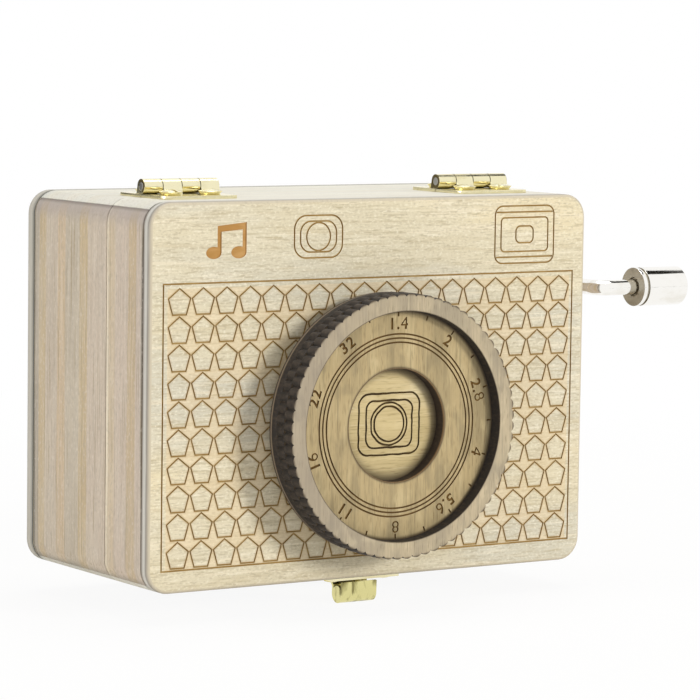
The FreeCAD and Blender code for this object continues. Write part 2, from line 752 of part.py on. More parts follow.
def worm_shaft():
    """The crank shaft: worm, journals, shoulders and the socket that takes the crank rod.

    It is built along the X axis with the worm's middle at zero, and then moved to its place.
    """
    thread = worm_thread()
    thread.rotate(Vec(0, 0, 0), Y_DIR, 90)
    # The thread is turned so that its middle has a crest behind the shaft, in the wheel's tooth gap.
    thread.rotate(Vec(0, 0, 0), X_DIR, 90 - 180 * worm_turns)
    thread.translate(Vec(-worm_length / 2, 0, 0))
    ear_in = right_ear_x - cylinder_x
    ear_out = ear_in + bracket_thickness
    shoulder = worm_end_play + worm_shoulder_thickness
    core_half = worm_length / 2 + worm_core_overhang
    socket_start = ear_out + worm_end_play
    core = bar_x(-core_half, core_half, 0, 0, worm_core_radius)
    journal = bar_x(-ear_out - journal_overhang, socket_start, 0, 0, worm_journal_radius)
    left_shoulder = bar_x(worm_end_play - ear_in, shoulder - ear_in, 0, 0, worm_shoulder_radius)
    right_shoulder = bar_x(ear_in - shoulder, ear_in - worm_end_play, 0, 0, worm_shoulder_radius)
    socket = bar_x(socket_start, socket_start + socket_length, 0, 0, socket_radius)
    shaft = core.fuse([journal, left_shoulder, right_shoulder, socket])
    shaft = shaft.fuse(thread)
    bore = bar_x(socket_start + socket_length - socket_depth, socket_start + socket_length,
                 0, 0, rod_radius + snug)
    shaft = shaft.cut(bore)
    shaft.translate(Vec(cylinder_x, crank_y, crank_z))
    return shaft


def rod_bend(corner_y, side):
    """A quarter bend where the arm meets the shaft end (-1) or the knob end (1) of the rod."""
    reach = crank_bend_radius + 2 * rod_radius
    low, high = sorted((0, -side * reach))
    ring = Part.makeTorus(crank_bend_radius, rod_radius)
    bend = ring.common(box(low, high, low, high, -reach, reach))
    bend.translate(Vec(arm_x + side * crank_bend_radius, corner_y + side * crank_bend_radius,
                       crank_z))
    return bend


def crank_rod():
    """One bent rod: out of the wall, forward along the arm, and out again for the knob."""
    r = crank_bend_radius
    socket_start = right_ear_x + bracket_thickness + worm_end_play
    inner_end = socket_start + socket_length - socket_depth + worm_end_play
    parts = [
        bar_x(inner_end, arm_x - r, crank_y, crank_z, rod_radius),
        rod_bend(crank_y, -1),
        bar_y(arm_x, knob_y + r, crank_y - r, crank_z, rod_radius),
        rod_bend(knob_y, 1),
        bar_x(arm_x + r, bush_flange_x, knob_y, crank_z, rod_radius),
    ]
    return parts[0].fuse(parts[1:]).removeSplitter()


def wall_bush():
    x0, x1 = wall_inner_x, case_width
    bush = bar_x(x0, x1, crank_y, crank_z, wall_bush_radius)
    flange = bar_x(x1, x1 + wall_bush_flange_thickness, crank_y, crank_z, wall_bush_flange_radius)
    bore = bar_x(x0, x1 + wall_bush_flange_thickness, crank_y, crank_z, rod_radius + running)
    return bush.fuse(flange).removeSplitter().cut(bore)


def knob_parts():
    """The turning knob, the flanged bush that it turns on, and the cap that closes its end."""
    bush_radius = rod_radius + knob_bush_wall
    bush_start = knob_start_x + knob_bush_recess
    bush = bar_x(bush_start, bush_end_x, knob_y, crank_z, bush_radius)
    flange = bar_x(bush_flange_x, bush_end_x, knob_y, crank_z, knob_bush_flange_radius)
    bush = bush.fuse(flange).removeSplitter()
    bush = bush.cut(bar_x(bush_start, bush_flange_x, knob_y, crank_z, rod_radius + snug))
    knob = bar_x(knob_start_x, knob_end_x, knob_y, crank_z, knob_radius)
    end_edges = [e for e in knob.Edges if abs(e.CenterOfMass.x - knob_end_x) < 1e-6]
    knob = knob.makeFillet(knob_edge_radius, end_edges)
    groove_start = knob_start_x + knob_face_thickness
    groove = bar_x(groove_start, groove_start + knob_groove_width, knob_y, crank_z,
                   knob_radius + knob_groove_depth)
    groove = groove.cut(bar_x(groove_start, groove_start + knob_groove_width, knob_y, crank_z,
                              knob_radius - knob_groove_depth))
    pocket_start = bush_flange_x - running
    cap_radius = knob_bush_flange_radius + knob_cap_lip
    cap_start = knob_end_x - knob_cap_thickness
    knob = knob.cut([
        groove,
        bar_x(knob_start_x, knob_end_x, knob_y, crank_z, bush_radius + running),
        bar_x(pocket_start, knob_end_x, knob_y, crank_z, knob_bush_flange_radius + running),
        bar_x(cap_start, knob_end_x, knob_y, crank_z, cap_radius + snug)])
    cap = bar_x(cap_start, knob_end_x, knob_y, crank_z, cap_radius)
    return bush, knob, cap


def movement_screws():
    """Countersunk screws through the back panel into the bed plate's feet."""
    screws = []
    face = case_depth - mount_head_recess
    for x, z in bed_foot_spots():
        head = Part.makeCone(mount_screw_radius, mount_head_radius, mount_head_depth,
                             Vec(x, face - mount_head_depth, z), Y_DIR)
        slot = box(x - mount_head_radius, x + mount_head_radius, face - slot_depth, face,
                   z - slot_width / 2, z + slot_width / 2)
        shank = bar_y(x, bed_top_y, face - mount_head_depth, z, mount_screw_radius)
        screws.append(head.cut(slot).fuse(shank).removeSplitter())
    return Part.makeCompound(screws)


def movement_screw_holes():
    holes = []
    for x, z in bed_foot_spots():
        face = case_depth - mount_head_recess
        cone = Part.makeCone(mount_screw_radius + snug, mount_head_radius + snug, mount_head_depth,
                             Vec(x, face - mount_head_depth, z), Y_DIR)
        mouth = bar_y(x, face, case_depth, z, mount_head_radius + snug)
        shank = bar_y(x, panel_inner_y, face - mount_head_depth, z, mount_screw_radius + snug)
        holes += [cone, mouth, shank]
    return holes


def screw_group(spots, z, up, sizes):
    """Equal screws whose heads sit on z and point up (1) or down (-1), with their slots turned."""
    screws = []
    for i, (x, y) in enumerate(spots):
        screw = oval_screw(*sizes)
        screw.rotate(Vec(0, 0, 0), Z_DIR, i * slot_turn_step)
        if up < 0:
            screw = screw.mirror(Vec(0, 0, 0), Z_DIR)
        screw.translate(Vec(x, y, z))
        screws.append(screw)
    return Part.makeCompound(screws)


def save(name, shape):
    placed = shape.copy()
    placed.translate(-origin)
    placed.exportStep("parts/" + name + ".step")


def main():
    os.makedirs("parts", exist_ok=True)
    big_screw = ((oval_rim_radius, oval_foot_radius, oval_rim_height, oval_dome_height),
                 (oval_slot_width, oval_slot_depth), (wood_screw_radius, wood_screw_length))
    small_screw = ((small_rim_radius, small_foot_radius, small_rim_height, small_dome_height),
                   (small_slot_width, small_slot_depth), (small_screw_radius, small_screw_length))
    leaf_top = case_height + leaf_thickness

    case_boards = mitred_boards(seam_y, panel_inner_y)
    lid_boards = mitred_boards(panel_thickness, seam_y - seam_gap)
    hinge_hole = (leaf_top - wood_screw_length, case_height, wood_screw_radius)
    plate_hole = (0, small_screw_length - clasp_plate_thickness, small_screw_radius)
    striker_hole = (0, small_screw_length - striker_thickness, small_screw_radius)
    case_boards["top"] = case_boards["top"].cut(drill(hinge_screw_spots(1), *hinge_hole))
    lid_boards["top"] = lid_boards["top"].cut(drill(hinge_screw_spots(-1), *hinge_hole))
    case_boards["bottom"] = case_boards["bottom"].cut(
        drill(clasp_screw_spots(clasp_plate_screw_y), *plate_hole))
    lid_boards["bottom"] = lid_boards["bottom"].cut(
        drill(clasp_screw_spots(striker_screw_y), *striker_hole))
    case_boards["right"] = case_boards["right"].cut(
        bar_x(wall_inner_x, case_width, crank_y, crank_z, wall_bush_radius + snug))
    for side in ("top", "bottom", "left", "right"):
        save("case_" + side + "_board", case_boards[side])
        save("lid_" + side + "_board", lid_boards[side])
    back = rounded_slab(0, case_width, panel_inner_y, case_depth, 0, case_height, corner_radius)
    save("back_panel", back.cut(movement_screw_holes()))
    save("front_panel", front_panel())
    for name, shape in lens().items():
        save(name, shape)

    rear_knuckles = range(0, knuckle_count, 2)
    front_knuckles = range(1, knuckle_count, 2)
    for side, x0 in hinge_lefts().items():
        save(side + "_hinge_rear_leaf",
             hinge_leaf(x0, 1, rear_knuckles, hinge_pin_radius + snug))
        save(side + "_hinge_front_leaf",
             hinge_leaf(x0, -1, front_knuckles, hinge_pin_radius + running))
        save(side + "_hinge_pin",
             bar_x(x0, x0 + hinge_length, seam_y, hinge_axis_z, hinge_pin_radius))
    save("hinge_rear_screws", screw_group(hinge_screw_spots(1), leaf_top, 1, big_screw))
    save("hinge_front_screws", screw_group(hinge_screw_spots(-1), leaf_top, 1, big_screw))

    save("clasp_plate", clasp_plate())
    save("clasp_pin", bar_x(clasp_x - clasp_plate_width / 2, clasp_x + clasp_plate_width / 2,
                            clasp_pin_y, -clasp_pin_drop, clasp_pin_radius))
    save("clasp_flap", clasp_flap())
    save("clasp_striker", clasp_striker())
    save("clasp_plate_screws", screw_group(clasp_screw_spots(clasp_plate_screw_y),
                                          -clasp_plate_thickness, -1, small_screw))
    save("striker_screws", screw_group(clasp_screw_spots(striker_screw_y),
                                      -striker_thickness, -1, small_screw))

    save("bed_plate", bed_plate())
    save("comb", comb())
    comb_face = cylinder_y - comb_thickness / 2
    save("comb_screws", Part.makeCompound([
        slotted_screw(x, 0, z, comb_face, bed_floor_y, machine_head_radius, machine_screw_radius)
        for x, z in comb_screw_spots()]))
    bracket_face = bed_top_y - bracket_thickness
    save("bracket_screws", Part.makeCompound([
        slotted_screw(x, 0, z, bracket_face, bed_floor_y, machine_head_radius,
                      machine_screw_radius) for x, z in bracket_screw_spots()]))
    save("lower_cylinder_bracket", cylinder_bracket(lower_ear_z, -1))
    save("upper_cylinder_bracket", cylinder_bracket(upper_ear_z, 1))
    save("left_shaft_bracket", shaft_bracket(left_ear_x, -1))
    save("right_shaft_bracket", shaft_bracket(right_ear_x, 1))
    save("movement_screws", movement_screws())
    save("pin_cylinder", pin_cylinder())
    save("cylinder_end_plates", end_plates())
    save("cylinder_arbor", arbor())
    save("arbor_collars", arbor_collars())
    save("worm_wheel", worm_wheel())

    save("worm_shaft", worm_shaft())
    save("crank_rod", crank_rod())
    save("crank_bush", wall_bush())
    bush, knob, cap = knob_parts()
    save("knob_bush", bush)
    save("crank_knob", knob)
    save("knob_end_cap", cap)


main()
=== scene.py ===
"""Looks of a wooden music box in the shape of a camera, with a hand crank on its right side.

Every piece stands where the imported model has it. Boards and metal parts keep the model's shape, with
their edges eased and their shading smoothed. The front panel, the lens's middle plate and its base disc
are drawn anew as engraved plates, with real grooves. Drawings are in millimetres, the scene in metres.
"""

from __future__ import annotations

import json
import logging
import math
from collections.abc import Iterable, Sequence
from dataclasses import dataclass, replace
from enum import Enum, IntEnum
from functools import cached_property

import bmesh
import bpy
from mathutils import Matrix, Quaternion, Vector, noise

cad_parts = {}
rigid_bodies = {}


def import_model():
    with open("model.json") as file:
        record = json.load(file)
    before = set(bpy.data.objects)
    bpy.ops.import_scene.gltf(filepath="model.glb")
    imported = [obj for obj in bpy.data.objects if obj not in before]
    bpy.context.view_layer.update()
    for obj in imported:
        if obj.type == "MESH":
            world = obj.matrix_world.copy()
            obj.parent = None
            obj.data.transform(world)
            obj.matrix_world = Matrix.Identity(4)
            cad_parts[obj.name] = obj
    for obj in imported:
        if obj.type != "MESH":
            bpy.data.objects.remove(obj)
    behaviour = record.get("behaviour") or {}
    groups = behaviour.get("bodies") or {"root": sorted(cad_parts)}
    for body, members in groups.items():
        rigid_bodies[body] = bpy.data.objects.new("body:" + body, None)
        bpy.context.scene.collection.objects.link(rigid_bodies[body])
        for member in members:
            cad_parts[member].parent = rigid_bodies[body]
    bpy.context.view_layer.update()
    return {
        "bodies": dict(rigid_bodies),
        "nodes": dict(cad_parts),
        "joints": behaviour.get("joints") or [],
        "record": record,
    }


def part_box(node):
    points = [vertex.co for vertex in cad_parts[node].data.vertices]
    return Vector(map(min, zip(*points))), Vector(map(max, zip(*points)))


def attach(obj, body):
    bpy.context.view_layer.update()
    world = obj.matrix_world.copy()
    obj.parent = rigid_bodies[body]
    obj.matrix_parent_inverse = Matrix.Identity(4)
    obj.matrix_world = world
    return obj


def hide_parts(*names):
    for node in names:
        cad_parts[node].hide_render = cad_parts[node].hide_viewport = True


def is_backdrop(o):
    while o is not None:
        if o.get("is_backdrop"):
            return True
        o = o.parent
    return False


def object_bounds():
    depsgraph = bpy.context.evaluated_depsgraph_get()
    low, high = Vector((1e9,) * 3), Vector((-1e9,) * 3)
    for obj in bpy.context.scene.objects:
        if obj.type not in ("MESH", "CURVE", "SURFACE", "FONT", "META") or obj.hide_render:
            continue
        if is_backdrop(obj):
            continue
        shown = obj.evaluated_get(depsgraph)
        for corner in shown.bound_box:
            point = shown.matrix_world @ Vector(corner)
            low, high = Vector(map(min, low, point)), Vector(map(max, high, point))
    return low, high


LOG = logging.getLogger("music_box")
MM = 0.001
# Points of a drawing that lie closer than this, in millimetres, are one point.
WELD = 0.002
# The radius of the front ring's bore, in millimetres. The plate behind it is darkened there too, partly
# as the ring's burnt edge showing and partly with painted shade where the two meet.
RING_BORE = 24.1

Point = tuple[float, float]
Spot = tuple[float, float, float]
Loop = list[Point]
Tree = bpy.types.NodeTree
Socket = bpy.types.NodeSocket
Material = bpy.types.Material
Mesh = bpy.types.Mesh


class Axis(Enum):
    """The direction in which a grain or a brushing runs."""

    ACROSS = 0
    DEEP = 1
    UP = 2


class Place(IntEnum):
    """The place of each finish in an engraved plate's list of materials."""

    FACE = 0
    LINE = 1
    RIM = 2
    BACK = 3
    FILL = 4
    BORE = 5


# Small tools for colours, node trees and meshes


def srgb(code: str) -> tuple[float, float, float, float]:
    """Turn an sRGB hex colour into linear red, green, blue and alpha.

    Args:
        code: a colour such as "#E5D9BA".

    Returns:
        Four numbers from 0 to 1, with alpha 1.
    """
    channels = [int(code[i : i + 2], 16) / 255 for i in (1, 3, 5)]
    linear = [c / 12.92 if c <= 0.04045 else ((c + 0.055) / 1.055) ** 2.4 for c in channels]
    return (*linear, 1.0)


def socket_of(sockets: Iterable, key: int | str) -> Socket:
    """Find a node's socket.

    Args:
        sockets: the node's inputs or its outputs.
        key: the socket's place, its identifier or its name.

    Returns:
        The socket.
    """
    if isinstance(key, int):
        return sockets[key]
    for socket in sockets:
        if socket.identifier == key:
            return socket
    return sockets[key]


def add_node(
    tree: Tree,
    kind: str,
    inputs: dict | Sequence = (),
    give: int | str | None = 0,
    stops: Sequence[tuple[float, str]] = (),
    **settings: object,
) -> bpy.types.Node | Socket:
    """Add one node, with its settings, its inputs and the links into it.

    Args:
        tree: the material's or the geometry's node tree.
        kind: Blender's name of the node type.
        inputs: values, hex colours, other nodes' sockets or a list of them, in order or by name.
        give: the output to return, by place or name, or None for the node itself.
        stops: places and hex colours, for a colour ramp.
        settings: the node's own properties.

    Returns:
        The output that give asks for, or the new node.
    """
    node = tree.nodes.new(kind)
    for name, value in settings.items():
        setattr(node, name, value)
    for key, value in inputs.items() if isinstance(inputs, dict) else enumerate(inputs):
        target = socket_of(node.inputs, key)
        sources = value if isinstance(value, list) else [value]
        if isinstance(sources[0], Socket):
            for source in sources:
                tree.links.new(source, target)
        elif isinstance(value, str) and value.startswith("#"):
            target.default_value = srgb(value)
        else:
            target.default_value = value
    if stops:
        elements = node.color_ramp.elements
        elements.remove(elements[-1])
        elements[0].position, elements[0].color = stops[0][0], srgb(stops[0][1])
        for position, colour in stops[1:]:
            elements.new(position).color = srgb(colour)
    return node if give is None else socket_of(node.outputs, give)


def place_along(tree: Tree, axis: Axis) -> Socket:
    """Return a point's place along one axis, in metres."""
    place = add_node(tree, "ShaderNodeTexCoord", give="Object")
    return add_node(tree, "ShaderNodeSeparateXYZ", (place,), give=axis.value)


def distance_from(tree: Tree, value: Socket, middle: float) -> Socket:
    """Return how far a value is from a middle, to either side."""
    gap = add_node(tree, "ShaderNodeMath", (value, middle), operation="SUBTRACT")
    return add_node(tree, "ShaderNodeMath", (gap,), operation="ABSOLUTE")


def radial_distance(tree: Tree, centre: Vector) -> Socket:
    """Work out the distance from an axis that runs along Y.

    Args:
        tree: the material's node tree.
        centre: a point on the axis, in metres.

    Returns:
        The socket that gives the distance, in millimetres.
    """
    place = add_node(tree, "ShaderNodeTexCoord", give="Object")
    local = add_node(tree, "ShaderNodeVectorMath", (place, centre), operation="SUBTRACT")
    flat = (local, (1 / MM, 0.0, 1 / MM))
    flat = add_node(tree, "ShaderNodeVectorMath", flat, operation="MULTIPLY")
    return add_node(tree, "ShaderNodeVectorMath", (flat,), give="Value", operation="LENGTH")


def fibres(
    tree: Tree, axis: Axis, size: Point, seed: float, detail: float = 3.0, bend: float = 0.0
) -> Socket:
    """Draw marks that run along a grain, from 0 to 1 and mostly near the middle.

    Args:
        tree: the material's node tree.
        axis: the direction of the grain.
        size: the length and the width of one mark, in millimetres.
        seed: moves the pattern to another place, so that two of them differ.
        detail: how many finer layers lie on the marks.
        bend: how far the marks waver, in widths of a mark.

    Returns:
        The socket that gives the marks' strength.
    """
    length, width = size
    scale = [1 / (width * MM)] * 3
    scale[axis.value] = 1 / (length * MM)
    place = add_node(tree, "ShaderNodeTexCoord", give="Object")
    moved = {"Vector": place, "Location": (seed,) * 3, "Scale": tuple(scale)}
    moved = add_node(tree, "ShaderNodeMapping", moved)
    marks = {"Vector": moved, "Scale": 1.0, "Detail": detail, "Distortion": bend}
    return add_node(tree, "ShaderNodeTexNoise", marks, give="Fac")


@dataclass(frozen=True)
class Coat:
    """A colour that shows where a pattern goes from start to end, up to a strength.

    Attributes:
        pattern: the socket that gives the pattern.
        start: the pattern's value where the colour begins to show.
        end: the value where it is at its full strength, which may lie below the start.
        colour: the coat's hex colour.
        strength: from 0, nothing, to 1, the coat alone.
    """

    pattern: Socket
    start: float
    end: float
    colour: str
    strength: float


def lay_coats(tree: Tree, ground: Socket | str, coats: Iterable[Coat]) -> Socket:
    """Lay coats of colour over a ground, one after another.

    Args:
        tree: the material's node tree.
        ground: the ground's hex colour, or the socket that gives it.
        coats: the coats, the lowest first.

    Returns:
        The socket that gives the colour of the whole.
    """
    colour = ground
    for coat in coats:
        span = (coat.pattern, coat.start, coat.end, 0.0, coat.strength)
        mask = add_node(tree, "ShaderNodeMapRange", span, interpolation_type="SMOOTHSTEP")
        mixed = {"Factor_Float": mask, "A_Color": colour, "B_Color": coat.colour}
        colour = add_node(tree, "ShaderNodeMix", mixed, give="Result_Color", data_type="RGBA")
    return colour


def close_material(
    tree: Tree,
    colour: Socket,
    rough: Socket | float | Point,
    relief: Socket,
    height: float,
    **shader: float,
) -> None:
    """End a material with its shader and its fine relief.

    Args:
        tree: the material's node tree.
        colour: the socket that gives its colour.
        rough: its roughness, or the roughness at the lowest and the highest places of the relief.
        relief: the pattern of the relief, from 0 to 1.
        height: how deep the relief is, in millimetres.
        shader: the shader's other inputs.
    """
    if isinstance(rough, tuple):
        rough = add_node(tree, "ShaderNodeMapRange", (relief, 0.0, 1.0, *rough))
    bump = {"Strength": 1.0, "Distance": height * MM, "Height": relief}
    normal = add_node(tree, "ShaderNodeBump", bump)
    inputs = {"Base Color": colour, "Roughness": rough, "Normal": normal, **shader}
    surface = add_node(tree, "ShaderNodeBsdfPrincipled", inputs)
    add_node(tree, "ShaderNodeOutputMaterial", {"Surface": surface}, give=None)


def seen_directly(tree: Tree) -> Socket:
    """Return 1 for the camera's view and what it sees in gloss or glass, and 0 for light on the object."""
    rays = add_node(tree, "ShaderNodeLightPath", give=None).outputs
    seen = rays["Is Camera Ray"]
    for other in ("Is Glossy Ray", "Is Transmission Ray"):
        seen = add_node(tree, "ShaderNodeMath", (seen, rays[other]), operation="MAXIMUM")
    return seen


def new_material(name: str) -> Material:
    """Make a material that has an empty node tree.

    Args:
        name: the material's name.

    Returns:
        The new material.
    """
    material = bpy.data.materials.new(name)
    material.use_nodes = True
    material.node_tree.nodes.clear()
    return material


def add_object(name: str, data: bpy.types.ID) -> bpy.types.Object:
    """Add an object to the scene, and return it."""
    added = bpy.data.objects.new(name, data)
    bpy.context.scene.collection.objects.link(added)
    return added


def plain_mesh(
    name: str, data: bpy.types.ID, kind: str = "", inputs: dict | None = None, **settings: object
) -> Mesh:
    """Give a mesh or a text a modifier for a moment, and keep the plain mesh that comes out.

    Args:
        name: the name of the result.
        data: the mesh or the text.
        kind: Blender's name of the modifier's type, or nothing for a text that needs none.
        inputs: the values of a node tree's inputs, by their identifiers.
        settings: the modifier's own properties.

    Returns:
        The new mesh, which no modifier is left on.
    """
    carrier = add_object(name, data)
    if kind:
        modifier = carrier.modifiers.new(name, kind)
        for key, value in settings.items():
            setattr(modifier, key, value)
        for key, value in (inputs or {}).items():
            modifier[key] = value
    graph = bpy.context.evaluated_depsgraph_get()
    graph.update()
    result = bpy.data.meshes.new_from_object(carrier.evaluated_get(graph), depsgraph=graph)
    carrier.modifiers.clear()
    bpy.data.objects.remove(carrier)
    result.name = name
    return result


def smooth_by_angle(bm: bmesh.types.BMesh, degrees: float) -> None:
    """Shade every face smooth, and keep sharp edges sharp.

    Args:
        bm: the mesh.
        degrees: edges that turn by more than this are sharp.
    """
    for face in bm.faces:
        face.smooth = True
    for edge in bm.edges:
        edge.smooth = edge.calc_face_angle(0.0) < math.radians(degrees)


# The flat outlines that are cut and engraved, in millimetres


def circle(centre: Point, radius: float, steps: int) -> Loop:
    """Return the points of a circle."""
    turns = [2 * math.pi * i / steps for i in range(steps)]
    return [(centre[0] + radius * math.cos(t), centre[1] + radius * math.sin(t)) for t in turns]


def rectangle(centre: Point, width: float, height: float) -> Loop:
    """Return the corners of a rectangle."""
    corners = ((1, 1), (-1, 1), (-1, -1), (1, -1))
    return [(centre[0] + width / 2 * right, centre[1] + height / 2 * up) for right, up in corners]


def rounded_rectangle(centre: Point, size: Point, radius: float, steps: int = 8) -> Loop:
    """Return the points of a rectangle with round corners.

    Args:
        centre: its middle.
        size: its width and height.
        radius: the radius of its corners.
        steps: how many pieces a corner has.

    Returns:
        One closed outline.
    """
    middles = rectangle(centre, size[0] - 2 * radius, size[1] - 2 * radius)
    points = []
    for corner, (x, z) in enumerate(middles):
        turns = [math.pi / 2 * (corner + i / steps) for i in range(steps + 1)]
        points += [(x + radius * math.cos(t), z + radius * math.sin(t)) for t in turns]
    return points


def frame_line(centre: Point, shape: Spot, line: float) -> list[Loop]:
    """Draw a line that follows a rounded rectangle.

    Args:
        centre: the rectangle's middle.
        shape: its width, its height and the radius of its corners.
        line: the line's width.

    Returns:
        Both sides of the line.
    """
    width, height, radius = shape
    sides = (line / 2, -line / 2)
    return [rounded_rectangle(centre, (width + 2 * s, height + 2 * s), radius + s) for s in sides]


def ring_line(centre: Point, radius: float, line: float, steps: int) -> list[Loop]:
    """Return both sides of a line that follows a circle."""
    return [circle(centre, radius + side, steps) for side in (line / 2, -line / 2)]


def swollen(loop: Loop, by: float) -> Loop:
    """Move a closed loop outwards, or inwards where the distance is below zero.

    Args:
        loop: the loop.
        by: how far its sides move.

    Returns:
        The loop with its points moved.
    """
    area = sum(a[0] * b[1] - b[0] * a[1] for a, b in zip(loop, [*loop[1:], loop[0]]))
    outwards = math.copysign(by, area)
    moved = []
    for before, here, after in zip([loop[-1], *loop[:-1]], loop, [*loop[1:], loop[0]]):
        first = Vector((here[0] - before[0], here[1] - before[1])).normalized()
        second = Vector((after[0] - here[0], after[1] - here[1])).normalized()
        side = Vector((first.y + second.y, -first.x - second.x))
        reach = outwards * 2 / max(side.length_squared, 1.0)
        moved.append((here[0] + side.x * reach, here[1] + side.y * reach))
    return moved


def holds(loop: Loop, point: Point) -> bool:
    """Tell whether a point lies within a closed loop.

    Args:
        loop: the loop.
        point: the point.

    Returns:
        True inside the loop.
    """
    inside = False
    for (ax, az), (bx, bz) in zip(loop, [*loop[1:], loop[0]]):
        if (az > point[1]) != (bz > point[1]):
            inside ^= point[0] < ax + (point[1] - az) * (bx - ax) / (bz - az)
    return inside


def scalloped_circle(radius: float, notch: float, count: int, phase: float, steps: int = 6) -> Loop:
    """Return a circle of small bulges that meet in notches.

    Args:
        radius: the radius at the crests.
        notch: how deep the notches are.
        count: how many bulges there are.
        phase: how far the first notch is turned, in bulges.
        steps: how many pieces a bulge has.

    Returns:
        One closed outline.
    """
    points = []
    for i in range(count * steps):
        bulge = math.sin(math.pi * (i % steps) / steps)
        turn = 2 * math.pi * (i / steps + phase) / count
        reach = radius - notch * (1 - bulge)
        points.append((reach * math.cos(turn), reach * math.sin(turn)))
    return points


def closed_loops(mesh: Mesh, weld: float) -> list[Loop]:
    """Read a mesh of closed lines back as loops of points.

    Args:
        mesh: the mesh, which lies flat in X and Y.
        weld: points closer than this are one.

    Returns:
        The loops, in the order of the mesh's points.
    """
    bm = bmesh.new()
    bm.from_mesh(mesh)
    bmesh.ops.remove_doubles(bm, verts=bm.verts, dist=weld)
    loops = []
    left = set(bm.verts)
    while left:
        vert = min(left, key=lambda v: v.index)
        loop, edge = [], vert.link_edges[0]
        while vert in left:
            left.discard(vert)
            loop.append((vert.co.x, vert.co.y))
            vert = edge.other_vert(vert)
            edge = next(e for e in vert.link_edges if e != edge)
        loops.append(loop)
    bm.free()
    return loops


def lay_drawing(outlines: Iterable[Loop], engraved: Iterable[Loop]) -> Mesh:
    """Turn loops into a flat mesh of edges.

    Args:
        outlines: the loops that are cut right through.
        engraved: the loops that are engraved, which get a mark.

    Returns:
        The mesh, flat in X and Y.
    """
    points: list[Spot] = []
    edges: list[tuple[int, int]] = []
    marks: list[bool] = []
    for loops, mark in ((outlines, False), (engraved, True)):
        for loop in loops:
            start, count = len(points), len(loop)
            points += [(x, z, 0.0) for x, z in loop]
            edges += [(start + i, start + (i + 1) % count) for i in range(count)]
            marks += [mark] * count
    mesh = bpy.data.meshes.new("drawing")
    mesh.from_pydata(points, edges, [])
    layer = mesh.attributes.new("engraved", "BOOLEAN", "POINT")
    layer.data.foreach_set("value", marks)
    return mesh


# Geometry node trees


class EngravedFaceTree:
    """The tree that turns drawn loops into a flat face with grooves cut into it.

    The drawing comes in as edges. Those with the "engraved" mark are cut, and the others are the
    outline. A subclass may add lines that repeat.
    """

    name = "engraved_face"
    sizes: dict[str, str] = {}

    def __init__(self) -> None:
        """Build the tree."""
        self.tree = bpy.data.node_groups.new(self.name, "GeometryNodeTree")
        finishes = {"Face finish": "Material", "Groove finish": "Material"}
        for title, kind in {"Geometry": "Geometry", "Depth": "Float", **finishes, **self.sizes}.items():
            self.tree.interface.new_socket(title, in_out="INPUT", socket_type="NodeSocket" + kind)
        self.tree.interface.new_socket("Geometry", in_out="OUTPUT", socket_type="NodeSocketGeometry")
        self.given = add_node(self.tree, "NodeGroupInput", give=None).outputs
        self.engrave(self.repeats())

    def repeats(self) -> Socket | None:
        """Return the loops that repeat, if this face has any."""
        return None

    def engrave(self, repeats: Socket | None) -> None:
        """Cut the grooves and give each face its finish.

        Args:
            repeats: the engraved loops that the tree draws itself, if it does.
        """
        tree, given = self.tree, self.given
        kind = "GeometryNodeInputNamedAttribute"
        engraved = add_node(tree, kind, {"Name": "engraved"}, data_type="BOOLEAN")
        parts = (given["Geometry"], engraved)
        parts = add_node(tree, "GeometryNodeSeparateGeometry", parts, give=None, domain="POINT").outputs
        cut = parts["Selection"]
        if repeats is not None:
            cut = add_node(tree, "GeometryNodeJoinGeometry", ([cut, repeats],))
        drop = add_node(tree, "ShaderNodeMath", (given["Depth"], -1.0), operation="MULTIPLY")
        down = add_node(tree, "ShaderNodeCombineXYZ", {"Z": drop})
        fills = []
        for loops in ([parts["Inverted"], cut], [cut]):
            loops = add_node(tree, "GeometryNodeJoinGeometry", (loops,))
            curve = add_node(tree, "GeometryNodeMeshToCurve", {"Mesh": loops})
            fills.append(add_node(tree, "GeometryNodeFillCurve", {"Curve": curve}))
        floor = add_node(tree, "GeometryNodeSetPosition", {"Geometry": fills[1], "Offset": down})
        walls = add_node(tree, "GeometryNodeExtrudeMesh", {"Mesh": cut, "Offset": down}, mode="EDGES")
        grooves = add_node(tree, "GeometryNodeJoinGeometry", ([floor, walls],))
        grooves = {"Geometry": grooves, "Name": "groove", "Value": True}
        kind = "GeometryNodeStoreNamedAttribute"
        grooves = add_node(tree, kind, grooves, data_type="BOOLEAN", domain="FACE")
        whole = add_node(tree, "GeometryNodeJoinGeometry", ([fills[0], grooves],))
        whole = {"Geometry": whole, "Distance": WELD}
        whole = add_node(tree, "GeometryNodeMergeByDistance", whole)
        whole = add_node(tree, "GeometryNodeRealizeInstances", (whole,))
        kind = "GeometryNodeInputNamedAttribute"
        groove = add_node(tree, kind, {"Name": "groove"}, data_type="BOOLEAN")
        for chosen, finish in ((True, "Face finish"), (groove, "Groove finish")):
            inputs = {"Geometry": whole, "Selection": chosen, "Material": given[finish]}
            whole = add_node(tree, "GeometryNodeSetMaterial", inputs)
        add_node(tree, "NodeGroupOutput", (whole,), give=None)

    def mesh(self, name: str, drawing: Mesh, values: dict) -> Mesh:
        """Run the tree on a drawing.

        Args:
            name: the name of the result.
            drawing: the mesh of marked edges.
            values: the tree's named inputs.

        Returns:
            A plain mesh, with no modifier left.
        """
        items = [item for item in self.tree.interface.items_tree if item.in_out == "INPUT"]
        inputs = {item.identifier: values[item.name] for item in items if item.name in values}
        return plain_mesh(name, drawing, "NODES", inputs, node_group=self.tree)


